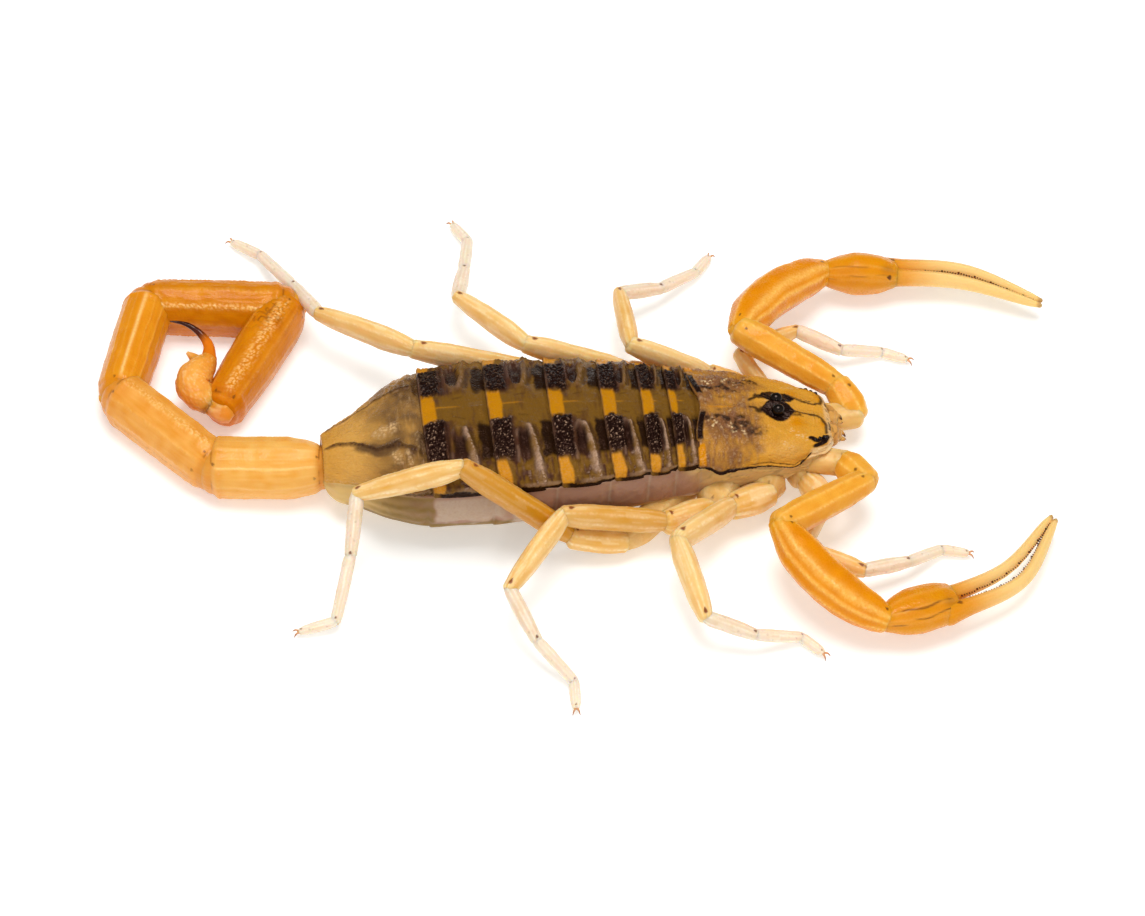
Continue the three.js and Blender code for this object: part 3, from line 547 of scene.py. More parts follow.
LAP = 0.3              # how far a plate reaches under the one before it
BAR_LENGTHS = [0.35, 0.5, 0.6, 0.62, 0.62, 0.62]
BLOCK_LENGTHS = [0.42, 0.62, 0.72, 0.82, 0.85, 0.85]
BACK_RADIUS = 3.0
# The raised loop on each half of a tergite, open to the side: [share of the length, up from the side].
HORSESHOE = [(0.37, 0.62), (0.38, 0.9), (0.41, 1.14), (0.5, 1.27), (0.61, 1.22), (0.66, 1.05), (0.69, 0.8), (0.70, 0.5),
             (0.72, 0.22)]


def tergite(i):
    """One of the first six back plates, with its two dark stripes, yellow bars and raised loops."""
    front = TERGITE_ENDS[i - 1] if i else 0.0
    length = front - TERGITE_ENDS[i]
    s = back_plate(TERGITE_ENDS[i] - 0.03, front + LAP, 0.05 if i < 2 else 0.2)
    phi, fold, back, share, middle = s.phi, s.fold, s.back, s.back / length, math.pi / 2
    arc, up_side = phi * BACK_RADIUS, fold * BACK_RADIUS
    wander = 0.05 * lumps(back, arc, 0.34, 10 + i) + 0.018 * lumps(back, arc, 0.12, 15 + i)
    s.points[..., 2] -= 0.16 * np.sin(math.pi * np.clip(share, 0, 1)) ** 0.6 * (1 - smooth(0.04, 0.22, fold))
    inner = 0.62 if i == 1 else 0.74
    across = lambda low, high, soft: band(fold + wander, low, high, soft)
    stripe = across(inner, 1.35, 0.04)
    block = stripe * band(back + wander + 0.06 * (1.0 - fold), 0.05, BLOCK_LENGTHS[i], 0.05)
    front_block = across(inner + 0.02, 1.3, 0.05) * smooth(0.78, 0.83, share + wander * 0.6)
    thick = np.clip(0.05 * length, 0.055, 0.12)
    at = share * length + wander * 0.6
    horseshoe = [(place * length, rise * BACK_RADIUS) for place, rise in HORSESHOE]
    limb = lambda shift, width, soft=0.9: stroke(at - shift * thick, up_side, horseshoe[4:], thick * width, soft)
    shoulder = limb(0, 1.2 * (0.75 + 0.55 * smooth(1.2, 0.4, fold)))
    shoulder_edge, outside = limb(0.7, 0.3), limb(2.1, 0.8, 0.95)
    loop = np.maximum(0.6 * stroke(at, up_side, horseshoe[:5], thick * 0.7, 0.9), shoulder)
    hollow = band(share, 0.44, 0.60, 0.04) * across(0.72, 1.16, 0.08)
    granules = grains(s.x, arc, 0.12, 30 + i, size=0.55)
    fine = grains(s.x, arc, 0.075, 35 + i)
    rim = 1 - smooth(0.10, 0.14, fold + wander * 0.6 + 0.02 * fine)
    streaks = lumps(back, arc * 0.22, 0.075, 50 + i)
    uneven = lumps(back * 1.2, arc, 0.42, 60 + i)
    side_field = smooth(0.95, 0.7, fold) * smooth(0.1, 0.2, fold)
    relief = (0.05 * block + 0.06 * block * granules + (0.07 + 0.09 * smooth(0.0, 1.0, fold)) * loop - 0.1 * hollow
              - 0.04 * outside + 0.036 * streaks * side_field + 0.05 * uneven * (1 - block) * smooth(0.1, 0.3, fold)
              + 0.018 * crest(phi, middle, 0.012) * smooth(0.6, 0.8, back)
              - 0.04 * smooth(0.66, 0.8, share) - 0.06 * smooth(0.93, 1.0, share) - 0.1 * smooth(1.0, 1.1, share)
              + 0.03 * band(back, 0.0, 0.12, 0.04) - 0.06 * (1 - smooth(0, 0.07, back))
              + 0.012 * fine * (1 - smooth(0.3, 0.5, share)) * (1 - block) + 0.012 * granules * loop - 0.05 * rim)
    bars = BAR_LENGTHS[i]
    ragged = wander * 0.5
    middle_bar = (band(phi + ragged, middle - 0.23, middle + 0.23, 0.03)
                  * band(back + ragged, 0.04, bars - 1.2 * np.abs(phi - middle) ** 2, 0.05))
    side_bar = (band(fold + ragged * 0.6, 0.12, inner - 0.04, 0.04)
                * band(back + ragged, 0.04, bars * (0.72 + 0.2 * np.sin(fold * 4.4)), 0.05))
    fringe = across(inner - 0.05, 1.42, 0.1) * band(back + wander, -0.1, BLOCK_LENGTHS[i] + 0.12, 0.12)
    brown = (0.9 * hollow + 0.7 * stripe * smooth(0.8, 0.3, share) + 0.45 * fringe + 0.45 * outside
             + 0.3 * (streaks - 0.1) + 0.5 * side_field * (0.3 + streaks)
             + 0.25 * band(fold, 0.1, 1.25, 0.1) * band(share, 0.3, 0.66, 0.05))
    dash = [(0.5 * length, -0.45), (0.64 * length, -0.5)]
    from_middle = arc - middle * BACK_RADIUS
    dashes = highest([stroke(share * length, way * from_middle, dash, 0.035, 0.8) for way in (1, -1)])
    orange_line = crest(phi, middle + 0.02, 0.012) * band(share, 0.1, 0.55, 0.1)
    # Painted glints: pale dots on the tallest granules of the dark blocks, twice as strong on the near side, stand in
    # for the lamp's sparkle.
    painted_glints = (block * np.maximum(smooth(0.76, 0.84, granules), 0.75 * smooth(0.72, 0.84, fine))
              * np.where(phi < 1.5, 1.0, 0.5))
    # Painted sheen: pale along the shoulders of the raised loops, brightest on their edges, standing in for highlights.
    painted_sheen = (0.55 * shoulder * (0.35 + 0.65 * fine) * (0.8 + 0.5 * uneven)
              + 1.2 * shoulder_edge * smooth(0.25, 0.6, granules))
    Piece(f"tergite_{i + 1}_plate").add_plate(
        s, relief, turning=brown + 0.4 * uneven, warm=highest([0.8 * middle_bar, side_bar, 0.5 * orange_line]),
        # Most of the pale here is painted highlight: sheen and pale crests on the near-side loops, glinting streaks on
        # the side field and the glints on the blocks.
        pale=painted_sheen * smooth(2.3, 1.4, phi) + 0.3 * loop * smooth(-0.3, 0.3, uneven) * smooth(2.2, 1.5, phi)
        + 0.3 * band(fold, 0.11, 0.2, 0.03) * smooth(0.3, 0.5, share)
        + 0.5 * side_field * band(share, 0.45, 0.66, 0.06) * smooth(0.2, 0.5, streaks) * granules
        + 0.12 * band(back, 0, 0.05, 0.02) + 0.9 * painted_glints + side_bar * (0.04 + 0.16 * granules),
        dark=highest([block * (1 - 0.08 * fine) * (1 - 0.75 * painted_glints), 0.95 * front_block,
                      0.95 * rim * smooth(0.15, 0.4, back), 0.3 * dashes, 0.8 * hollow * smooth(0.6, 1.0, fold),
                      0.6 * crest(share, 0.345, 0.02) * stripe, 0.4 * outside * smooth(0.5, 1.0, fold)])
    ).finish("tergite", "tergite", f"tergite_{i + 1}")


def last_tergite():
    """The seventh back plate, tapering to the tail, with a keel on each side."""
    front, rear = TERGITE_ENDS[5:]
    s = back_plate(rear, front + LAP, 0.0)
    fold, back, share, arc = s.fold, s.back, s.back / (front - rear), s.phi * 2.6
    wander = 0.06 * lumps(back, arc, 0.3, 16)

    def mark(width, *points):
        """A wavering line through [x, phi] points."""
        return stroke(s.x, arc + wander, [(x, phi * 2.6) for x, phi in points], width, 0.7)

    keels = np.maximum(
        mark(0.13, (-15.25, 1.27), (-14.87, 1.34), (-14.1, 1.2), (-13.35, 1.03), (-12.45, 1.08), (-11.75, 0.97)),
        mark(0.085, (-15.2, 2.1), (-14.2, 2.2), (-13.3, 2.2), (-12.5, 2.12), (-11.7, 2.1)))
    smear = mark(0.26, (-13.9, 1.12), (-13.3, 1.0), (-12.7, 1.05))
    bulges = np.clip(mark(0.22, (-13.2, 1.35), (-12.6, 1.4)) + mark(0.16, (-12.6, 0.92), (-12.45, 0.8))
                     + mark(0.14, (-11.6, 1.2), (-11.5, 1.0)) + mark(0.1, (-12.1, 0.95), (-12.0, 0.75)), 0, 1)
    granules = grains(s.x, arc, 0.12, 36)
    swell = (crest(share, 0.72, 0.12) * band(fold, 0.3, 1.2, 0.15)
             + 0.6 * crest(share, 0.45, 0.08) * band(fold, 0.25, 0.7, 0.12))
    wrinkles = lumps(back, arc, 0.2, 56) * 0.6 + lumps(back, arc, 0.5, 66)
    rim = 1 - smooth(0.05, 0.12, fold)
    ribbed = lumps(back, arc * 0.3, 0.09, 57) * smooth(0.5, 0.8, share)
    blotches = smooth(-0.15, 0.45, lumps(s.x, arc, 0.42, 58) + 0.3 * wrinkles) * smooth(0.3, 0.62, share)
    upper_band = band(s.phi, 1.9, 2.7, 0.12) * smooth(0.2, 0.55, share) * (0.6 + 0.5 * wrinkles)
    relief = (0.09 * keels + 0.07 * bulges + 0.09 * swell + 0.035 * wrinkles + 0.045 * ribbed
              + 0.03 * granules * smooth(0.9, 0.4, share) - 0.13 * smooth(0.9, 1.0, share)
              - 0.1 * smooth(1.0, 1.06, share) - 0.05 * rim - 0.06 * (1 - smooth(0, 0.1, back)))
    Piece("tergite_7_plate").add_plate(
        s, relief,
        turning=0.15 + 0.85 * smooth(0.3, 0.75, share) * (0.85 + 0.25 * wrinkles) - 0.1 * swell + 0.7 * smear,
        warm=0.35 * smooth(0.3, 0.05, share) + 0.3 * band(fold, 0.1, 0.5, 0.1) * band(share, 0.6, 0.9, 0.05),
        # The pale on the bulges is painted highlight where they rise.
        pale=bulges * (0.25 + 0.75 * smooth(0.25, 0.6, granules)) + 0.15 * granules * smooth(0.6, 0.2, share)
        + 0.25 * smooth(0.3, 0.6, ribbed) * granules,
        dark=highest([0.95 * keels * (0.7 + 0.3 * granules), 0.4 * smear, 0.2 * blotches, 0.45 * upper_band,
                      0.62 * band(fold, 0.75, 1.3, 0.1) * smooth(0.7, 0.9, share) * (0.6 + 0.6 * wrinkles),
                      0.6 * rim * smooth(0.2, 0.5, share),
                      0.8 * band(fold, 0.85, 1.25, 0.1) * smooth(0.9, 0.95, share)])
    ).finish("tergite_last", "tergite", "tergite_7")


EYE_X, EYE_ASIDE, EYE_APART, EYE_HEIGHT, EYE_RADIUS = 3.42, -0.13, 0.35, 1.13, 0.25
SHIELD_RADIUS = 2.55
SHIELD_DIP = 0.36         # how far the rear edge of the head shield is hollowed at the middle
# How far the shield's side edge hangs below the even line, at places along it.
SHIELD_DROOP = [[-0.3, 0.0], [0.1, 0.04], [0.75, 0.38], [1.25, 0.24], [1.9, 0.02], [2.7, 0.0], [3.3, 0.12], [3.9, 0.27],
                [4.35, 0.12], [4.7, 0.0], [5.8, 0.0]]


def shield_surface():
    """The head shield's surface, its rear edge hollowed and its side edges hanging in two waves."""
    s = back_plate(-0.16, CARAPACE_LENGTH, 0.0, step=0.035)
    x = s.x + SHIELD_DIP * np.sin(s.phi) ** 12 * (1 - s.share)
    points, outward = back_surface(x, s.phi)
    droop = profile(SHIELD_DROOP, x.reshape(-1))[:, 0].reshape(x.shape) * (1 - smooth(0.0, 0.5, s.fold))
    points[..., 1] -= 0.45 * droop * np.sign(np.cos(s.phi))
    points[..., 2] -= 0.7 * droop
    return Surface(points, outward, s.fade, x, s.phi * 2.7, x=x, phi=s.phi, fold=s.fold, back=x - x[:1])


def carapace():
    """The head shield: eye hill, furrows, dark patches, edge line and pale front corners."""
    s = shield_surface()
    x, phi, fold, arc = s.x, s.phi, s.fold, s.phi * SHIELD_RADIUS
    wander = 0.05 * lumps(x, arc, 0.26, 20) + 0.025 * lumps(x, arc, 0.1, 25)
    granules = grains(x, arc, 0.14, 21)
    fine = grains(x, arc, 0.085, 26)
    wrinkles = lumps(x, arc, 0.22, 22) * 0.5 + lumps(x, arc, 0.6, 23)
    creases = lumps(x, arc * 0.25, 0.09, 27)

    def drawn(width, soft, *points):
        """A wavering line through [x, phi] points on the right half, and its mirror image on the left."""
        return highest([stroke(x, arc + wander, [(at, turn(to) * SHIELD_RADIUS) for at, to in points], width, soft)
                        for turn in (lambda to: to, lambda to: math.pi - to)])

    hill = np.exp(-((x - EYE_X) / 0.62) ** 2 - ((phi - 1.6) * 2.45 / 0.46) ** 2)
    groove = crest(phi, 1.6, 0.03)
    furrow = crest(phi, 1.58, 0.06) * (band(x, 0.2, 2.5, 0.3) + band(x, 4.1, 5.7, 0.2))
    brow = drawn(0.2, 0.9, (3.85, 1.3), (4.3, 1.36), (5.1, 1.36))
    rough_patch = band(fold, 0.85, 1.3, 0.1) * band(x, 0.3, 2.8, 0.2)
    slope_furrow = drawn(0.16, 0.95, (1.5, 1.25), (2.1, 0.85), (2.5, 0.5))
    side_swell = crest(fold, 0.45, 0.25) * band(x, 0.6, 4.2, 0.6)
    relief = (0.26 * hill - 0.05 * groove * hill - 0.07 * furrow + 0.07 * brow + 0.05 * wrinkles
              + 0.05 * rough_patch * granules + 0.03 * fine + 0.08 * side_swell - 0.06 * slope_furrow
              + 0.02 * creases * smooth(3.0, 2.0, x) + 0.06 * band(fold, 0.0, 0.07, 0.02)
              - 0.05 * (1 - smooth(0, 0.08, s.back)) - 0.22 * smooth(5.45, 5.7, x) ** 2)

    pointed = np.clip(1 - (np.abs(x - 3.46) / 0.78) ** 2, 0, 1)
    eye_black = highest([smooth(-0.02, 0.03, pointed * size - np.abs(phi - at) + wander * 0.4)
                         for at, size in ((1.42, 0.23), (1.75, 0.19))]) * smooth(0.0, 0.1, pointed)
    wedges = np.maximum(drawn(0.15, 0.5, (3.0, 1.44), (2.62, 1.41)), drawn(0.08, 0.7, (2.65, 1.43), (2.3, 1.5)))
    forward = highest([
        drawn(0.07, 0.7, (3.75, 1.25), (4.08, 1.36), (4.57, 1.40), (5.06, 1.39), (5.28, 1.3), (5.42, 1.1), (5.4, 0.85)),
        0.8 * drawn(0.06, 0.8, (3.9, 1.3), (4.35, 1.32)),
        drawn(0.06, 0.8, (4.3, 1.33), (5.1, 1.32)) * (granules > 0.55)])
    side_eyes = np.maximum(drawn(0.15, 0.3, (4.72, 0.72), (5.0, 0.6), (5.36, 0.72)),
                           drawn(0.19, 0.3, (4.93, 0.45), (5.2, 0.5), (5.36, 0.66)))
    patches = highest([
        drawn(0.14, 0.5, (0.42, 1.24), (1.0, 1.25), (1.5, 1.18)), 0.9 * drawn(0.2, 0.6, (1.35, 1.16), (1.5, 1.0)),
        0.9 * drawn(0.23, 0.6, (1.85, 1.22), (2.03, 1.04), (2.28, 0.93), (2.6, 0.96)),
        0.5 * drawn(0.07, 0.8, (0.95, 1.42), (1.3, 1.43))])
    patches = patches * smooth(-0.5, 0.1, lumps(x, arc, 0.16, 28)) * (0.8 + 0.2 * granules)
    rear_stripe = band(fold, 0.8, 1.38, 0.04) * band(s.back, 0.03, 0.28, 0.04)
    bars = band(fold, 0.1, 0.7, 0.03) * band(s.back, 0.03, 0.33, 0.04)
    line_width = np.interp(x, [0, 0.3, 1.3, 2.2, 4.2], [0.06, 0.095, 0.09, 0.055, 0.045])
    edge_line = np.maximum(
        (1 - smooth(line_width - 0.015, line_width + 0.015, fold + wander * 0.15)) * smooth(4.45, 4.3, x),
        drawn(0.05, 0.5, (4.2, 0.03), (4.5, 0.1), (4.66, 0.2)) * (1 - smooth(4.62, 4.72, x)))
    inner_line = 0.7 * drawn(0.035, 0.6, (2.1, 0.09), (2.6, 0.14), (3.2, 0.1), (4.3, 0.08))
    front_spots = (0.8 * drawn(0.07, 0.5, (5.58, 1.2), (5.62, 0.95))
                   + 0.6 * crest(x, 5.56, 0.05) * (lumps(x, arc, 0.25, 24) > 0.3))
    corner = smooth(4.55, 4.85, x + 0.6 * (0.35 - fold)) * smooth(0.42, 0.32, fold)
    orange = (0.8 * drawn(0.3, 0.8, (3.9, 1.17), (4.5, 1.12), (5.2, 1.15), (5.35, 0.92))
              + 0.5 * drawn(0.2, 0.9, (3.9, 1.95), (5.2, 1.95)))
    glints = (1.1 * np.maximum(drawn(0.16, 0.8, (0.55, 1.14), (0.75, 1.05)), drawn(0.09, 0.8, (1.32, 1.1), (1.5, 0.9)))
              + 0.8 * drawn(0.07, 0.8, (1.72, 1.08), (1.9, 0.9)) + 0.6 * drawn(0.14, 0.9, (3.9, 0.95), (4.6, 0.68))
              + 0.5 * drawn(0.1, 0.9, (3.5, 0.66), (3.8, 0.5))) * smooth(0.35, 0.75, granules)
    line_at_middle = 0.5 * crest(phi, 1.49, 0.02) * band(x, 0.5, 1.6, 0.2)
    greyish = smooth(3.2, 1.6, x + 0.5 * wrinkles + 0.5 * smooth(0.7, 0.2, fold))
    Piece("carapace_shield").add_plate(
        s, relief,
        turning=0.82 * greyish * (0.9 + 0.2 * wrinkles) + 0.25 * creases * smooth(3.2, 2.2, x)
        + 0.3 * slope_furrow + 0.3 * rough_patch,
        warm=highest([bars, 0.9 * np.clip(orange, 0, 1) * (0.6 + 0.6 * wrinkles), line_at_middle,
                      0.35 * smooth(0.1, 0.7, wrinkles) * smooth(2.8, 3.6, x)]),
        # Pale here is partly painted highlight: the glints, the speckles on the grey rear, the sheen on the side swell
        # and the line in the groove between the eyes; the front corners and front edge are pale in colour.
        pale=glints + 0.75 * corner + 0.55 * smooth(5.35, 5.5, x) + 0.3 * (creases > 0.45) * greyish * granules
        + 0.25 * side_swell * smooth(2.2, 3.6, x) * (0.5 + 0.5 * fine) + 0.7 * groove * band(x, 2.9, 3.4, 0.1) * fine,
        dark=highest([1.2 * eye_black * (1 - 0.2 * groove * (x < 3.1)), 0.9 * wedges, forward * 0.85, side_eyes,
                      patches, rear_stripe, edge_line, inner_line, np.clip(front_spots, 0, 1)])
    ).finish("carapace", "carapace", "carapace")


def even_ring(points, count):
    """Points evenly spaced round a closed outline."""
    closed = np.vstack([points, points[:1]])
    reach = np.concatenate([[0], np.cumsum(np.linalg.norm(np.diff(closed, axis=0), axis=1))])
    at = np.linspace(0, reach[-1], count, endpoint=False)
    return np.stack([np.interp(at, reach, axis) for axis in closed.T], -1)


def trunk_skin():
    """The soft sides and the underside as rings along the trunk, under the back plates."""
    front, step, square, columns = 5.35, 0.06, 0.45, 260
    xs = np.linspace(TAIL_START + 0.05, front, int((front - TAIL_START) / step))
    under, over = np.linspace(0, math.pi, 300), np.linspace(math.pi, 2 * math.pi, 120)
    soften = lambda v: np.sign(v) * np.abs(v) ** square
    rings, depths, sides = [], [], []
    for x, (aside, half, edge, crown, belly) in zip(xs, profile(TRUNK, xs)):
        closing = math.sqrt(1 - (1 - min((x - xs[0]) / 0.7, 1.0)) ** 2) * 0.45 + 0.55
        half, belly = half * closing, edge + (belly - edge) * closing
        shelf = edge - 0.04
        low = [aside + (half - 0.1) * soften(np.cos(under)), shelf - (shelf - belly) * soften(np.sin(under))]
        top = [aside + (half - 0.3) * np.cos(over), shelf + (crown - 0.34 - shelf) * np.abs(np.sin(over)) ** 0.85]
        ring = even_ring(np.column_stack([np.concatenate([a, b[1:-1]]) for a, b in zip(low, top)]), columns)
        rings.append(ring)
        depths.append((shelf - ring[:, 1]) / (shelf - belly))
        sides.append((ring[:, 0] - aside) / half)
    rings, depth = np.array(rings), np.array(depths)
    x = xs[:, None] + 0 * depth
    points = in_trunk(x, rings[..., 0], rings[..., 1])
    across = np.roll(points, -1, axis=1) - np.roll(points, 1, axis=1)
    outward = unit(np.cross(across, np.gradient(points, axis=0)))
    outward *= np.sign(((points - points.mean(axis=1, keepdims=True)) * outward).sum(-1, keepdims=True))
    around = np.cumsum(np.linalg.norm(np.diff(points, axis=1, prepend=points[:, :1]), axis=-1), axis=1)
    return Surface(points, outward, np.ones(x.shape), x, around, x=x, depth=depth, side=np.array(sides))


STERNITE_ENDS = [-4.2, -6.3, -8.7, -11.3]


def soft_trunk():
    """The soft sides and the underside in one skin: folds, seams, belly plates, breathing slits and pale patches."""
    s = trunk_skin()
    x, depth, side = s.x, s.depth, s.side
    seam, fold = (sum(crest(x + 0.1 * depth, at, width) for at in [0.0, *TERGITE_ENDS[:6]]) for width in (0.05, 0.16))
    flank = band(depth, 0.02, 0.66, 0.05)
    sole = smooth(0.66, 0.72, depth)
    behind = smooth(0.3, -0.3, x)
    wrinkles = lumps(x, depth * 6, 0.12, 80) * 0.4 + lumps(x * 2.5, depth * 3, 0.35, 81)
    # Sternites lap back over one another; each rear edge stands a little proud.
    lap = sum(smooth(at - 0.02, at + 0.06, x) * smooth(at + 1.2, at + 0.05, x) for at in STERNITE_ENDS)
    lap_line = sum(crest(x, at, 0.035) for at in STERNITE_ENDS)
    slits = sum(1 - smooth(0.75, 1.25, np.hypot((x - at - 1.2) / 0.12, (np.abs(side) - 0.55) / 0.1))
                for at in STERNITE_ENDS) * sole
    relief = (flank * behind * smooth(0.05, 0.3, depth) * (0.08 - 0.1 * fold + 0.02 * wrinkles)
              + 0.05 * sole * behind * lap - 0.05 * slits + 0.04 * band(depth, 0.68, 0.78, 0.03) * behind)
    wander = 0.12 * lumps(x, depth * 5, 0.5, 82)
    white = (smooth(-11.15, -10.95, x + wander) * smooth(-7.9, -8.5, x) * band(depth, 0.1, 0.61 + wander, 0.04)
             + band(x, -7.9, -6.7, 0.15) * band(depth, 0.42, 0.76, 0.08))
    hind = smooth(-11.0, -11.2, x + wander)
    lower_rim = smooth(0.60, 0.66, depth + 0.3 * wander) * smooth(0.4, 0.55, np.abs(side)) * band(x, -14.5, -3.6, 0.3)
    fore = smooth(-1.1, 0.5, x - 2.0 * (depth - 0.15) + wander)
    folds = fore * lumps(x * 0.5 + depth * 1.4, depth * 2.6 - x * 0.28, 0.34, 83)
    fold_lines = fore * (1 - smooth(0.0, 0.1, np.abs(folds))) * band(depth, 0.05, 0.8, 0.1)
    bands = 0.5 + 0.5 * np.sin(depth * 26 + 3 * wander)
    Piece("soft_trunk_skin").add(
        s, relief + 0.07 * folds + 0.03 * lower_rim,
        turning=highest([0.9 * fore + 0.25 * folds, smooth(-11.6, -13.6, x), 0.8 * sole]),
        warm=np.maximum(0.95 * lower_rim * behind, hind * (0.6 + 0.35 * bands) * band(depth, 0.02, 0.95, 0.03)
                        * (0.2 + 0.8 * smooth(-14.7, -12.6, x))),
        pale=np.maximum(0.75 * seam * flank * behind * (1 - hind), 1.1 * np.clip(white, 0, 1) * (0.95 + 0.1 * wrinkles))
        + 0.25 * lap_line * sole + 0.2 * fore * smooth(0.1, 0.6, folds),
        dark=0.7 * slits + 0.35 * lap_line * sole * behind + 0.3 * fold_lines
    ).finish("membrane", "membrane", "belly", "prosoma_underside")


# ---- limbs ----

def joint_points(start, lengths, headings, heights):
    """The joints of a limb from its root, by the length, heading and far height of each part."""
    points = [np.array(start, float)]
    for length, heading, height in zip(lengths, np.radians(headings), heights):
        x, y, z = points[-1]
        reach = math.sqrt(length ** 2 - (height - z) ** 2)
        points.append(np.array([x + reach * math.cos(heading), y + reach * math.sin(heading), height]))
    return points


def point_on(line, place):
    """One point of a line, with the line's heading there."""
    return line.at(np.array([place]))[0], line.heading(np.array([place]))[0]


def ball(at, half, count, least, **size):
    """An oval body round a point; least keeps its ends from closing to nothing."""
    reach = np.array([half[0], 0, 0])
    round_off = [(t, math.sqrt(max(1 - (2 * t - 1) ** 2, least))) for t in np.linspace(0, 1, count)]
    return limb_surface(Line([at - reach, at + reach]), [[t, half[1] * r, half[2] * r] for t, r in round_off], **size)


def soft_joint(piece, at, half, seed):
    """A small swelling of soft skin that fills a joint."""
    s = ball(at, half, 9, 0.02, step=0.08, ends=0.3)
    piece.add(s, 0.02 * s.lumps(0.12, seed), turning=0.4 + 0.3 * s.lumps(0.2, seed))


TAIL_LENGTHS = [4.55, 5.31, 4.92, 5.71, 5.89]
TAIL_HEADINGS = [172, 132, 72, -6, -121]
TAIL_HEIGHTS = [1.25, 1.2, 1.2, 1.2, 1.2]
MIDDLE_RING = [[0, 0.98, 1.22], [0.15, 1.02, 1.25], [0.85, 1.06, 1.26], [1, 1.0, 1.22]]
TAIL_SHAPES = [
    [[0, 0.85, 1.1], [0.14, 1.04, 1.24], [0.35, 1.24, 1.26], [0.9, 1.22, 1.26], [1, 1.1, 1.2]],
    MIDDLE_RING, MIDDLE_RING, MIDDLE_RING,
    [[0, 1.0, 1.2], [0.2, 1.1, 1.25], [0.6, 1.06, 1.24], [0.9, 0.9, 1.22], [1, 0.82, 1.05]],
]
TAIL_KEELS = (8, 48, 90, 132, 172, 222, 270, 318)
THIN_KEELS = (28, 70, 111, 152)
KEEL_KNOBS = [0, 0.12, 0, 0.12, 0.09]           # granules on the keels of each tail ring; 0 for smooth keels
KEEL_HEIGHTS = [0.03, 0.035, 0.03, 0.04, 0.022]
GLINTS = [(50, 2.0), (97, 8), (88, 3), (128, 6), (80, 12)]
tail_joints = joint_points(in_trunk(TAIL_START, -0.22, -0.95), TAIL_LENGTHS, TAIL_HEADINGS, TAIL_HEIGHTS)


def tail_ring(i):
    """One of the five rings of the tail, keeled and finely lined, with pinched ends."""
    s = limb_surface(Line(tail_joints[i:i + 2]), TAIL_SHAPES[i], square=0.92, ends=0.3 if i == 4 else 0.5)
    knobs, place = KEEL_KNOBS[i], s.place
    relief, lines = s.keeled([(angle, KEEL_HEIGHTS[i], 4.5 if knobs else 2.6, knobs) for angle in TAIL_KEELS], 100 + i)
    if not knobs:
        between, thin = s.keeled([(angle, 0.016, 1.8, 0) for angle in THIN_KEELS], 115 + i)
        relief, lines = relief + between, np.maximum(lines, 0.6 * thin)
    fine, wrinkles = s.grains(0.12, 110 + i), s.lumps(0.35, 120 + i)
    striae = lumps(s.along * 0.12, s.around, 0.1, 125 + i)
    pinch = crest(place, 0.0, 0.03) + crest(place, 1.0, 0.03)
    relief = ((relief + s.facets(TAIL_KEELS, 0.014)) * band(place, 0.04, 0.96, 0.04) + 0.008 * fine + 0.015 * wrinkles
              + 0.008 * striae - 0.08 * pinch + 0.045 * crest(place, 0.94, 0.025))
    ends = (crest(place, 0.012, 0.006) + crest(place, 0.985, 0.006)) * smooth(-0.1, 0.5, wrinkles)
    dark = [0.7 * s.end_spot(0.965, 58, 0.08, 3.5), 0.7 * s.end_spot(0.975, 112, 0.07, 3.5),
            0.7 * s.end_spot(0.03, 75, 0.06, 3), 0.49 * s.end_spot(0.05, 20, 0.07, 3.5), 0.6 * np.clip(ends, 0, 1)]
    if i == 1:
        dark.append(0.5 * s.ray(352, 3) * band(place, 0.02, 0.9, 0.1) * fine)
    if i == 4:
        creases = (band(place, 0.05, 0.36, 0.08) * band(s.gap(100), -35, 32, 14)
                   * (1 - smooth(0.0, 0.28, np.abs(lumps(s.along * 1.8 + s.around * 0.6, s.around, 0.3, 130)))))
        relief = relief - 0.03 * creases + 0.012 * s.grains(0.09, 131)
        dark.append(0.45 * creases)
    glints = s.ray(*GLINTS[i]) * (smooth(0.2, 0.7, fine) if knobs else 1.0)
    Piece(f"tail_ring_{i + 1}", s, relief, dark=highest(dark),
          turning=0.4 + 0.3 * wrinkles + 0.25 * striae - 0.15 * lines,
          # The warm mark on the underside (270 degrees) is painted shade: the deeper orange of the lower flank where
          # the light falls off.
          warm=0.5 * pinch + 0.3 * crest(place, 0.92, 0.05) + 0.3 * s.ray(270, 80),
          pale=(0.25 * lines * (0.4 + 0.6 * fine) + 0.75 * glints) * band(place, 0.05, 0.95, 0.04)
          ).finish(f"tail_{i + 1}", "tail", f"tail_{i + 1}")


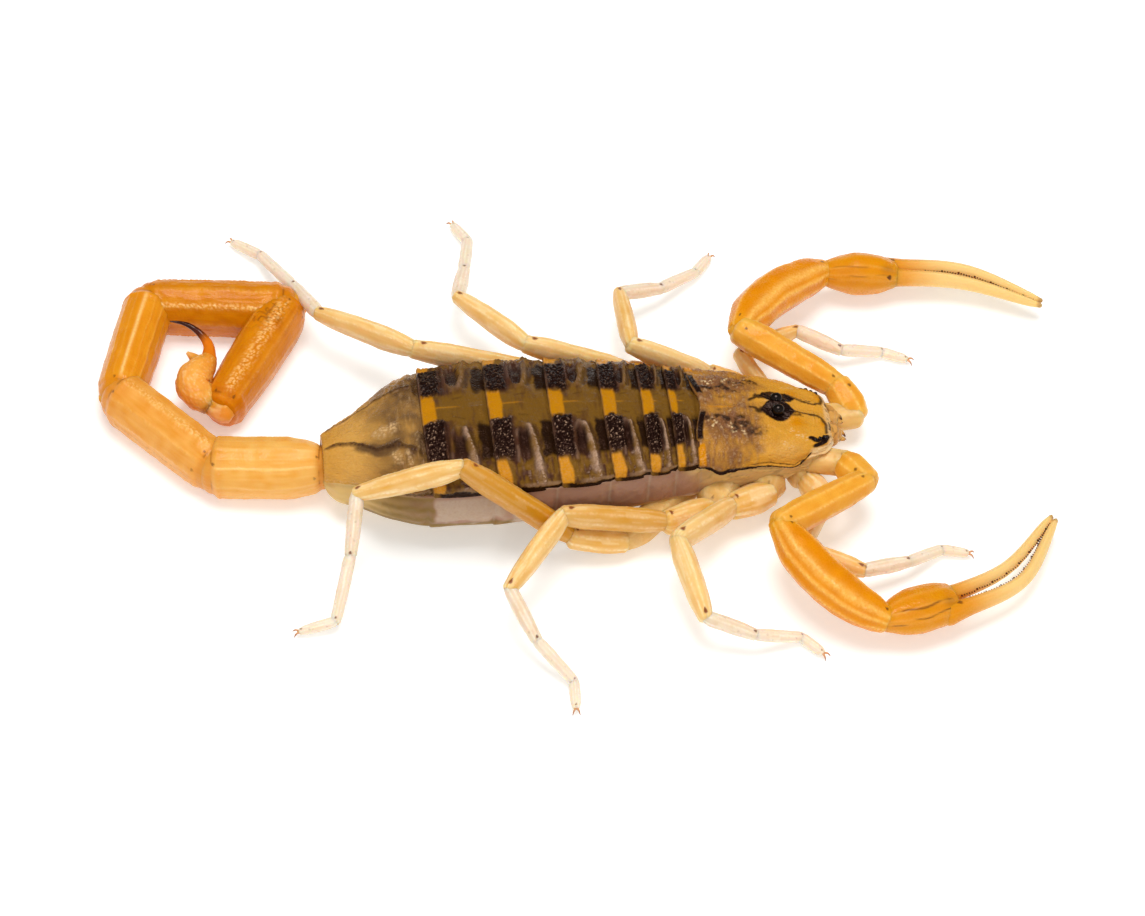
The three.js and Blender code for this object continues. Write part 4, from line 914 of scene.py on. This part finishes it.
def telson():
    """The venom bulb with its neck and the small tooth under the sting, and the curved sting."""
    s = limb_surface(curve_through([(-19.75, 3.35, 1.35), (-20.42, 4.15, 1.72), (-19.72, 5.35, 1.93)]),
                     [[0, 0.46, 0.5], [0.22, 0.66, 0.66], [0.5, 0.76, 0.78], [0.78, 0.6, 0.66], [1, 0.34, 0.4]],
                     step=0.045, ends=0.3)
    ridges, lines = s.keeled([(270, 0.04, 9, 0.2), (225, 0.03, 8, 0.2), (315, 0.03, 8, 0.2), (60, 0.02, 10, 0)], 141)
    fine = s.grains(0.13, 142)
    bulb = Piece("telson_venom_bulb", s, ridges + 0.025 * fine + 0.03 * s.lumps(0.26, 143),
                 turning=0.3 + 0.5 * smooth(0.7, 1.0, s.place) + 0.2 * s.lumps(0.4, 144),
                 pale=0.5 * fine * lines + 0.3 * smooth(0.6, 0.9, fine), dark=0.5 * crest(s.place, 0.0, 0.05))
    neck = limb_surface(curve_through([tail_joints[5] + (0.1, 0.15, 0.2), (-19.2, 3.0, 1.35), (-19.9, 3.5, 1.4)]),
                        [[0, 0.56, 0.6], [0.5, 0.44, 0.5], [1, 0.44, 0.48]])
    bulb.add(neck, 0.04 * neck.lumps(0.25, 146), turning=0.75, pale=0.3 * smooth(0.0, 0.4, neck.lumps(0.3, 147)))
    tooth = limb_surface(Line([(-20.0, 5.05, 1.95), (-20.58, 5.66, 2.02)]),
                         [[0, 0.3, 0.3], [0.6, 0.2, 0.2], [1, 0.08, 0.08]], step=0.04)
    bulb.add(tooth, turning=0.6, pale=0.3 * smooth(0.5, 1, tooth.place))
    bulb.finish("telson", "telson", "telson_bulb")
    s = limb_surface(curve_through([(-19.72, 5.35, 1.93), (-19.68, 5.95, 2.0), (-20.15, 6.7, 2.2), (-20.7, 7.05, 2.28),
                                    (-21.2, 7.16, 2.3)]),
                     [[0, 0.34, 0.36], [0.2, 0.24, 0.25], [0.5, 0.15, 0.15], [0.8, 0.085, 0.085], [1, 0.03, 0.03]],
                     step=0.03)
    Piece("telson_sting_point", s, 0.006 * s.lumps(0.2, 145), turning=smooth(0.25, 0.5, s.place),
          dark=0.8 * smooth(0.4, 0.7, s.place)).finish("sting", "sting", "telson_sting")


PALP_LENGTHS = [1.5, 4.65, 5.75, 2.95, 6.4]
# Where a limb starts, the heading of each part in degrees, and the height of each part's far end.
PALP_STANCE = {
    "right": ([6.1, -1.9, 1.95], [-61, -147, -46, 17, 40], [2.3, 3.05, 1.58, 1.4, 1.05]),
    "left": ([7.0, 0.95, 1.4], [118, 149, 44, -3, -13], [1.8, 2.95, 1.58, 1.4, 1.0]),
}
# Keels are degrees round, height, half width in degrees and knob size; end spots are place, degrees and half sizes.
PALP_KEELS = [(95, 0.035, 6, 0.14), (130, 0.03, 5, 0.14), (50, 0.03, 5, 0.14), (5, 0.03, 6, 0.14), (175, 0.03, 6, 0.14),
              (235, 0.03, 7, 0), (305, 0.03, 7, 0)]
PALP_PARTS = [
    ("trochanter", [[0, 0.56, 0.56], [0.4, 0.72, 0.68], [1, 0.62, 0.6]],
     PALP_KEELS, "palp_base", [(0.75, 110, 0.09, 6)]),
    ("femur", [[0, 0.5, 0.52], [0.12, 0.6, 0.62], [0.3, 0.66, 0.68], [0.8, 0.7, 0.74], [1, 0.62, 0.66]],
     PALP_KEELS, "palp_base", [(0.07, 85, 0.09, 5), (0.96, 70, 0.08, 5)]),
    ("patella", [[0, 0.56, 0.58], [0.08, 0.68, 0.7], [0.25, 0.92, 0.82], [0.6, 0.96, 0.88], [0.85, 0.82, 0.8],
                 [1, 0.56, 0.62]],
     # The patella's broad keels at 112 and 142 degrees face the light; the pale mark on keel lines paints a highlight
     # along them.
     [(112, 0.05, 13, 0), (142, 0.035, 7, 0), *PALP_KEELS[2:]], "palp", [(0.04, 70, 0.09, 4), (0.975, 80, 0.09, 6)]),
]
PALM_SHAPES = {
    "right": [[0, 0.56, 0.5], [0.25, 0.9, 0.72], [0.5, 1.04, 0.82], [0.8, 1.0, 0.76], [1, 0.84, 0.58]],
    "left": [[0, 0.5, 0.5], [0.25, 0.72, 0.8], [0.5, 0.82, 1.0], [0.8, 0.76, 0.88], [1, 0.6, 0.6]],
}
PALM_KEELS = [(75, 0.016, 6, 0), (112, 0.03, 5, 0), (138, 0.025, 5, 0), (30, 0.014, 8, 0), (150, 0.016, 7, 0),
              (0, 0.016, 9, 0), (180, 0.016, 9, 0), (250, 0.02, 9, 0)]
PALM_LINES = [(112, 0.12, 0.97, 2.6), (138, 0.35, 0.95, 1.8), (156, 0.02, 0.2, 2.2)]   # degrees, start, end, width
FINGER = [[0, 0.46, 0.5], [0.18, 0.34, 0.4], [0.4, 0.29, 0.36], [0.7, 0.24, 0.28], [0.93, 0.17, 0.19], [1, 0.1, 0.12]]
FINGER_OFFSETS = {
    "right": {"fixed": [-0.42, 0.42, -0.12], "moving": [0.46, 1.32, 0.14]},
    "left": {"fixed": [-0.2, 0.2, -0.33], "moving": [0.28, 0.84, -0.06]},
}


def pedipalp(side):
    """A claw arm: three arm parts, the palm with its fixed finger, and the moving finger."""
    hip, headings, heights = PALP_STANCE[side]
    joints = joint_points(hip, PALP_LENGTHS, headings, heights)
    first_seed = {"right": 200, "left": 240}[side]
    for k, (part, shape, keels, finish, spots) in enumerate(PALP_PARTS):
        line, seed = Line(joints[k:k + 2]), first_seed + 3 * k
        if part == "patella":
            outward = unit(np.cross(UP, joints[3] - joints[2])) * SIDES[side]
            line = bowed(joints[2], (joints[2] + joints[3]) / 2 + outward, joints[3])
        s = limb_surface(line, shape)
        relief, lines = s.keeled(keels, seed)
        fine, uneven = s.grains(0.15, seed + 1), s.lumps(0.4, seed + 2)
        relief = (relief + s.facets([keel[0] for keel in keels], 0.018)) * band(s.place, 0.05, 0.95, 0.05)
        name = f"pedipalp_{side}_{part}"
        Piece(name + "_plate", s, relief + 0.008 * fine + 0.02 * uneven, turning=0.4 + 0.35 * uneven,
              # Pale along the keels: painted highlight on their crests.
              pale=0.8 * lines * (0.55 + 0.45 * fine), dark=0.8 * highest([s.end_spot(*spot) for spot in spots]),
              warm=0.4 * crest(s.place, 0, 0.08) + 0.3 * crest(s.place, 1, 0.06)).finish(finish, "pedipalp", name)
    claw(side, joints[3:], first_seed + 9)
    soft = Piece(f"pedipalp_{side}_joints")
    for k, size in ((1, 0.5), (2, 0.52), (3, 0.46)):
        soft_joint(soft, joints[k], (size, size, size * 0.9), first_seed + k)
    soft.finish("amber_joint", "pedipalp")


def claw(side, joints, seed):
    """The palm with the fixed finger in one piece, the moving finger, and the rows of teeth between them."""
    wrist, palm_end, tip = joints
    reach = unit(tip - palm_end)
    outward = unit(np.cross(UP, reach)) * SIDES[side]
    root = palm_end - 0.5 * reach
    s = limb_surface(Line([wrist, palm_end]), PALM_SHAPES[side], step=0.045, ends=(0.4, 0.6))
    ridges, lines = s.keeled(PALM_KEELS, seed)
    fine, uneven = s.grains(0.13, seed + 1), s.lumps(0.4, seed + 2)
    drawn = (sum(s.ray(degrees, width, 4 * np.sin(s.along * 3.1)) * band(s.place, start, end, 0.06)
                 for degrees, start, end, width in PALM_LINES)
             * smooth(-0.8, 0.2, uneven) * {"right": 1.0, "left": 0.5}[side])
    name = f"pedipalp_{side}_"
    palm = Piece(name + "palm", s, ridges * band(s.place, 0.06, 0.97, 0.04) + 0.01 * fine + 0.02 * uneven,
                 turning=0.02 + 0.1 * uneven, warm=0.4 + 0.3 * uneven, pale=0.12 * lines,
                 dark=highest([0.75 * np.clip(drawn, 0, 1), 0.3 * band(s.place, 0.82, 1.0, 0.08) * s.ray(114, 14),
                               0.9 * s.end_spot(0.93, 140, 0.12, 8)]))
    moving, teeth = Piece(name + "moving_finger_plate"), Piece(name + "teeth")
    for finger, other in (("fixed", "moving"), ("moving", "fixed")):
        offsets = FINGER_OFFSETS[side][finger]
        line = curve_through([at + outward * offset for at, offset in zip((root, (root + tip) / 2, tip), offsets)])
        s = limb_surface(line, FINGER, step=0.04, ends=0.9)
        inner = 0 if (FINGER_OFFSETS[side][other][1] > offsets[1]) == (side == "left") else 180
        ridges, lines = s.keeled([(90, 0.02, 12, 0), (inner, 0.03, 14, 0.16), (inner + 180, 0.015, 15, 0)], seed + 4)
        (palm if finger == "fixed" else moving).add(
            s, ridges, turning=0.05 + smooth(0.02, 0.45, s.place) * 0.95, warm=0.4 * smooth(0.3, 0.05, s.place),
            pale=0.3 * lines * smooth(0.1, 0.4, s.place),
            dark=0.5 * smooth(0.97, 1.0, s.place) + 0.7 * s.end_spot(0.06, 80, 0.14, 14) * (finger == "moving"))
        add_finger_teeth(teeth, line, inner + (18 if inner == 0 else -18), seed + 7)
    moving.finish("hand", "hand", name + "moving_finger")
    palm.finish("hand", "hand", name + "hand")
    teeth.finish("tooth", "hand")


def add_finger_teeth(piece, line, degrees, seed):
    """Slanting rows of small blunt teeth along the inner edge of a finger, a larger one ending each row."""
    random = np.random.RandomState(seed)
    places = np.linspace(0.16, 0.95, 46)
    for k, (place, (half_width, half_height)) in enumerate(zip(places, profile(FINGER, places))):
        middle, ahead = point_on(line, place)
        across = unit(np.cross(UP, ahead))
        up = np.cross(ahead, across)
        turn = math.radians(degrees + 5 * ((k % 6) / 3 - 1))
        away = across * math.cos(turn) + up * math.sin(turn)
        foot = middle + across * half_width * math.cos(turn) + up * half_height * math.sin(turn)
        size = (0.065 if k % 6 == 0 else 0.045) * (0.9 + 0.2 * random.rand())
        s = limb_surface(Line([foot - away * 0.02, foot + away * size]),
                         [[0, size * 0.8, size * 0.8], [1, size * 0.4, size * 0.4]], ends=0.7)
        piece.add(s, turning=random.rand())


LEG_LENGTHS = [[1.2, 2.95, 2.85, 2.05, 1.95, 1.1], [1.7, 3.7, 3.5, 2.2, 2.2, 1.1], [2.0, 4.6, 4.0, 2.35, 2.3, 1.2],
               [2.2, 6.2, 4.7, 2.5, 2.85, 1.5]]
FOOT_HEIGHT = 0.25
LEG_STANCE = {
    "right": [
        ([4.55, -2.15, 1.25], [-57, -119, -26, 16, 33, -10], [1.15, 1.2, 1.35, 1.0, 0.33]),
        ([2.85, -2.9, 1.45], [-157, -138, -76, -15, 9, -45], [1.65, 2.75, 1.85, 1.15, 0.32]),
        ([0.35, -3.5, 1.45], [-159, -176, -129, -63, -47, -92], [1.7, 3.0, 2.35, 1.3, 0.37]),
        ([-3.3, -4.5, 0.95], [179, 170, 174, -102, -108, -173], [1.4, 5.5, 3.5, 1.8, 0.57]),
    ],
    "left": [
        ([4.95, 2.3, 0.95], [197, 116, 25, -31, 9, -22], [1.0, 1.25, 1.12, 0.98, 0.3]),
        ([2.7, 2.95, 0.9], [156, 169, 92, 23, 37, 53], [1.2, 2.7, 1.9, 1.05, 0.4]),
        ([-0.2, 3.6, 0.9], [168, 170, 131, 77, 80, 116], [1.2, 2.5, 2.1, 1.2, 0.47]),
        ([-3.2, 3.6, 0.9], [168, 176, 144, 112, 116, 138], [1.15, 3.0, 2.25, 1.42, 0.54]),
    ],
}
LEG_SIZE = {"right": [1.02, 1.14, 1.06, 1.02], "left": [0.86, 0.93, 1, 1.02]}
LEG_GOLD = {"right": [0.2, 0.1, 0.6, 1.0], "left": [0.2, 0.0, 0.1, 0.2]}      # how golden each thigh is
SHIN_GOLD = {"right": [0.2, 0.0, 0.3, 0.4], "left": [0.3, 0.5, 0.1, 0.1]}
# Each part's name, shape, finish, the ending of its node, and the half length of the dark spot at its end.
LEG_PARTS = [
    ("trochanter", [[0, 0.42, 0.44], [0.4, 0.5, 0.52], [1, 0.42, 0.48]], "leg", "femur", 0.08),
    ("femur", [[0, 0.3, 0.4], [0.1, 0.36, 0.5], [0.25, 0.4, 0.6], [0.75, 0.4, 0.6], [1, 0.34, 0.48]],
     "leg", "femur", 0.14),
    ("patella", [[0, 0.3, 0.4], [0.1, 0.36, 0.5], [0.3, 0.42, 0.6], [0.75, 0.38, 0.5], [1, 0.28, 0.34]],
     "leg", "patella", 0.15),
    ("tibia", [[0, 0.25, 0.28], [0.12, 0.3, 0.33], [0.5, 0.31, 0.34], [1, 0.25, 0.27]], "foot", "foot", 0.09),
    ("basitarsus", [[0, 0.21, 0.23], [0.15, 0.26, 0.27], [0.9, 0.24, 0.25], [1, 0.21, 0.22]], "foot", "foot", 0.05),
    ("tarsus", [[0, 0.2, 0.2], [0.2, 0.23, 0.24], [0.8, 0.21, 0.22], [1, 0.15, 0.16]], "foot", "foot", 0.05),
]
HOOK_BEND = [(0.04, 0), (0.2, 0.03), (0.34, -0.13)]      # ahead of the foot's end and above it
LEG_KEELS = [(55, 0.016, 7, 0.12), (122, 0.016, 7, 0.12), (90, 0.01, 6, 0), (5, 0.014, 9, 0), (175, 0.014, 9, 0),
             (235, 0.014, 12, 0), (305, 0.014, 12, 0)]


def leg(side, i):
    """A walking leg of six parts, with soft joints and two claws at the end of its foot."""
    (hip, headings, heights), golden = LEG_STANCE[side][i], LEG_GOLD[side][i]
    joints = joint_points(hip, LEG_LENGTHS[i], headings, [*heights, FOOT_HEIGHT])
    name = f"leg_{i + 1}_{side}_"
    soft = Piece(name + "joints")
    for k, (part, rows, finish, node, spot_length) in enumerate(LEG_PARTS):
        upper = finish == "leg"
        size = LEG_SIZE[side][i] * (1.15 if k == 0 else 1.0) if upper else 1.0
        shape = np.array(rows) * [1, size, size]
        s = limb_surface(Line(joints[k:k + 2]), shape, step=0.05 if upper else 0.045, ends=0.5)
        seed = 300 + 20 * i + 3 * k + {"right": 0, "left": 90}[side]
        relief, lines = s.keeled(LEG_KEELS, seed)
        uneven, fine = s.lumps(0.4, seed + 1), s.grains(0.16, seed + 2)
        striae = lumps(s.along * 0.15, s.around, 0.12, seed + 5)
        relief = (1.0 if upper else 0.4) * relief * band(s.place, 0.06, 0.94, 0.05) + 0.008 * fine + 0.012 * uneven
        dark = 0.9 * s.end_spot(0.955, 92, spot_length, 12)
        if not upper:
            dark = np.maximum(dark, 0.2 * (s.grains(0.5, seed + 4, size=0.1) > 0.45))
        turning = (0.45, 0.9 - 0.8 * golden + 0.5 * smooth(0.4, 1.0, s.place), 0.9 - 0.8 * SHIN_GOLD[side][i],
                   0.5, 0.15, 0.15)[k]
        gold = golden * (part == "femur")
        Piece(f"{name}{part}_plate", s, relief, dark=dark, turning=turning + 0.2 * uneven + 0.2 * striae,
              pale=(0.6 * lines * (0.5 + 0.5 * fine) + 0.25 * (striae > 0.4)) * (1 - 0.7 * gold),
              # The warm mark on the underside of the upper parts is painted shade, a deeper amber where the light falls
              # off; gold is the thigh's own colour.
              warm=upper * 0.4 * s.ray(270, 60) + 0.8 * gold).finish(finish, finish, name + node)
        if k:
            width, height = shape[0][1:]
            soft_joint(soft, joints[k], (width * 0.95, width * 0.95, height * 0.85), seed)
    soft.finish("joint", "leg")
    hooks = Piece(name + "claws")
    for turn in (-28, 28):
        way = math.radians(headings[5] + turn)
        out = np.array([math.cos(way), math.sin(way), 0.0])
        line = curve_through([joints[6] + out * far + UP * high for far, high in HOOK_BEND])
        s = limb_surface(line, [[0, 0.055, 0.06], [0.5, 0.035, 0.04], [1, 0.012, 0.012]], step=0.03)
        hooks.add(s, turning=smooth(0.2, 0.9, s.place))
    hooks.finish("claw_hook", "foot")


HIP_SIZE = [1.1, 1.35, 1.45, 1.2]


def hips():
    """The eight hips and the two bases of the claw arms, with the breastbone between them."""
    for side, sign in SIDES.items():
        for i, size in enumerate(HIP_SIZE):
            hip_piece(f"coxa_{i + 1}_{side}", in_trunk(3.7 - 0.85 * i, sign * 0.5, -1.3), LEG_STANCE[side][i][0],
                      [[0, 0.36 * size, 0.4 * size], [0.5, 0.52 * size, 0.6 * size], [0.85, 0.56 * size, 0.6 * size],
                       [1, 0.46, 0.5]], 500 + i + 10 * sign)
        hip_piece(f"coxa_palp_{side}", in_trunk(3.6, sign * 1.1, -0.9), PALP_STANCE[side][0],
                  [[0, 0.48, 0.48], [0.6, 0.62, 0.6], [1, 0.56, 0.56]], 520 + 10 * sign)
    hip_piece("breastbone", in_trunk(0.2, 0, -1.2), in_trunk(1.5, 0, -1.22),
              [[0, 0.5, 0.2], [0.5, 0.42, 0.22], [1, 0.12, 0.16]], 540)


def hip_piece(name, inner, outer, shape, seed):
    s = limb_surface(Line([inner, outer]), shape, step=0.06, ends=0.6)
    ridges, lines = s.keeled([(60, 0.03, 10, 0.2), (120, 0.03, 10, 0.2)], seed)
    uneven = s.lumps(0.4, seed + 1)
    Piece(name, s, ridges + 0.04 * uneven, turning=0.35 + 0.4 * uneven, pale=0.4 * lines + 0.2 * (uneven > 0.2),
          dark=0.5 * s.end_spot(0.95, 90, 0.06, 5)).finish("coxa", "coxa")


def chelicerae():
    """The two small jaws, each a block with two curved tips."""
    for side, sign in SIDES.items():
        line = Line([in_trunk(5.1, sign * 0.56, -0.3), in_trunk(5.98, sign * 0.52, -0.42)])
        s = limb_surface(line, [[0, 0.5, 0.44], [0.5, 0.56, 0.46], [0.85, 0.48, 0.4], [1, 0.34, 0.28]], step=0.04)
        net = s.lumps(0.22, 560 + sign)
        piece = Piece(f"chelicera_{side}_base", s, 0.02 * s.lumps(0.3, 561), turning=0.4 + 0.4 * net,
                      dark=0.6 * (1 - smooth(0.03, 0.14, np.abs(net))) * smooth(0.2, 0.5, s.place))
        for aside, size in ((-0.13, 0.13), (0.13, 0.11)):
            start = point_on(line, 0.9)[0] + (0, aside, 0)
            jaw = curve_through([start, start + (0.28, aside * 0.3, -0.1), start + (0.42, -aside * 0.4, -0.26)])
            t = limb_surface(jaw, [[0, size, size], [0.6, size * 0.7, size * 0.7], [1, 0.03, 0.03]], step=0.03)
            piece.add(t, turning=0.6 * t.place, dark=smooth(0.5, 0.9, t.place))
        piece.finish("chelicera", "chelicera", f"chelicera_{side}")


def combs():
    """The two sensory combs under the belly, each a shaft with a row of teeth."""
    for side, sign in SIDES.items():
        line = Line([in_trunk(-1.5, sign * 0.5, -1.6), in_trunk(-3.3, sign * 2.7, -1.7)])
        s = limb_surface(line, [[0, 0.24, 0.2], [0.5, 0.26, 0.2], [1, 0.16, 0.16]])
        piece = Piece(f"pecten_{side}_comb", s, 0.01 * s.lumps(0.3, 570), turning=0.3)
        for place in np.linspace(0.05, 0.98, 21):
            root, ahead = point_on(line, place)
            away = unit(np.cross(ahead, UP))
            away = away * -np.sign(away[0])
            piece.add(limb_surface(Line([root + away * 0.15, root + away * 0.5 - UP * 0.05]),
                                   [[0, 0.045, 0.07], [0.6, 0.05, 0.09], [1, 0.04, 0.06]]), turning=0.1)
        piece.finish("pecten", "pecten", f"pecten_{side}")


def eyes():
    """The two median eyes on their hill and three small eyes at each front corner of the shield."""
    for side, sign in SIDES.items():
        add_lens(f"eye_median_{side}", "lens", [(in_trunk(EYE_X, EYE_ASIDE + sign * EYE_APART, EYE_HEIGHT),
                                                 (EYE_RADIUS * 1.1, EYE_RADIUS, EYE_RADIUS))])
        add_lens(f"eyes_lateral_{side}", "lenses", [
            (in_trunk(4.86 + 0.2 * k, sign * (1.55 - 0.1 * k), 0.30 - 0.03 * k), (0.1 - 0.01 * k, 0.09, 0.09))
            for k in range(3)])


def add_lens(node, ending, lenses):
    piece = Piece(f"{node}_{ending}")
    for centre, half in lenses:
        s = ball(centre, half, 17, 0.001, step=0.02, ends=0.1)
        piece.add(s, 0.01 * crest(s.outward[..., 2], 0.1, 0.12))
    piece.finish("eye", "eye", node)


# ---- floor, light and camera ----

def studio():
    """A pale floor, a broad soft light overhead, a small one in front and a white surround, dimmer behind."""
    reach, low = 1.5, -0.00002
    mesh = bpy.data.meshes.new("studio_floor")
    mesh.from_pydata([(x, y, low) for x, y in ((-reach, -reach), (reach, -reach), (reach, reach), (-reach, reach))], [],
                     [(0, 1, 2, 3)])
    paper, tree = bare_material("white_paper")
    fibre = wire(tree, "TexNoise", {"Scale": 900.0, "Detail": 3.0}).outputs["Fac"]
    shader = wire(tree, "BsdfPrincipled", {
        "Base Color": blended(tree, fibre, (0.865, 0.90, 0.915, 1), (0.895, 0.93, 0.945, 1)), "Roughness": 0.9,
        "Specular IOR Level": 0.1, "Emission Color": (1, 1, 1, 1), "Emission Strength": 0.33})
    wire(tree, "OutputMaterial", {"Surface": shader.outputs["BSDF"]})
    mesh.materials.append(paper)
    floor = placed("studio_floor", mesh)
    world = bpy.data.worlds.new("studio_surround")
    world.use_nodes = True
    tree = world.node_tree
    behind = wire(tree, "SeparateXYZ", {0: wire(tree, "TexCoord").outputs["Generated"]}).outputs["Y"]
    share = wire(tree, "MapRange", {"Value": behind, "From Min": -0.3, "From Max": 0.7}).outputs[0]
    fill(tree, tree.nodes["Background"], {
        "Color": blended(tree, share, (1.0, 0.99, 0.975, 1), (1.0, 0.84, 0.68, 1)),
        "Strength": reckon(tree, "MULTIPLY_ADD", share, -0.4, 0.63)})
    bpy.context.scene.world = world
    for name, size, energy, aside, high in (("overhead_softbox", 0.15, 0.47, 0.015, 0.26),
                                            ("front_softbox", 0.035, 0.1, -0.3, 0.24)):
        lamp = bpy.data.lights.new(name, "AREA")
        lamp.shape, lamp.size, lamp.energy = "DISK", size, energy
        made = placed(name, lamp)
        made.location, made.rotation_euler = (0.0, aside, high), (-math.atan2(aside, high), 0, 0)
    bpy.context.scene.view_settings.view_transform = "Standard"


LOOKED_AT = np.array([-4.88, 0.6, 0.0])
SENSOR_WIDTH = 36
LENS_TO_SENSOR = 7200 / 1145


def camera():
    """The view from the animal's right, from above."""
    azimuth, elevation, roll, distance = math.radians(-9), math.radians(53), math.radians(4), 300
    back = np.array([math.sin(azimuth) * math.cos(elevation), -math.cos(azimuth) * math.cos(elevation),
                     math.sin(elevation)])
    level = np.array([math.cos(azimuth), math.sin(azimuth), 0.0])
    up = np.cross(back, level)
    axes = np.array([math.cos(roll) * level + math.sin(roll) * up, math.cos(roll) * up - math.sin(roll) * level, back,
                     (LOOKED_AT + distance * back + OFFSET) * MILLIMETRE])
    lens = bpy.data.cameras.new("camera")
    lens.sensor_width, lens.lens = SENSOR_WIDTH, LENS_TO_SENSOR * SENSOR_WIDTH
    lens.clip_start, lens.clip_end = 0.01, 5
    view = placed("camera", lens)
    view.matrix_world = Matrix([*axes.T.tolist(), [0, 0, 0, 1]])
    bpy.context.scene.camera = view


for plate in range(6):
    tergite(plate)
for build in (last_tergite, carapace, soft_trunk, hips, chelicerae, combs, eyes):
    build()
tail_soft = Piece("tail_joints")
for ring in range(5):
    tail_ring(ring)
    if ring:
        soft_joint(tail_soft, tail_joints[ring], (0.85, 0.85, 1.0), 600 + ring)
tail_soft.finish("amber_joint", "tail")
telson()
for side in SIDES:
    pedipalp(side)
    for number in range(4):
        leg(side, number)
studio()
camera()
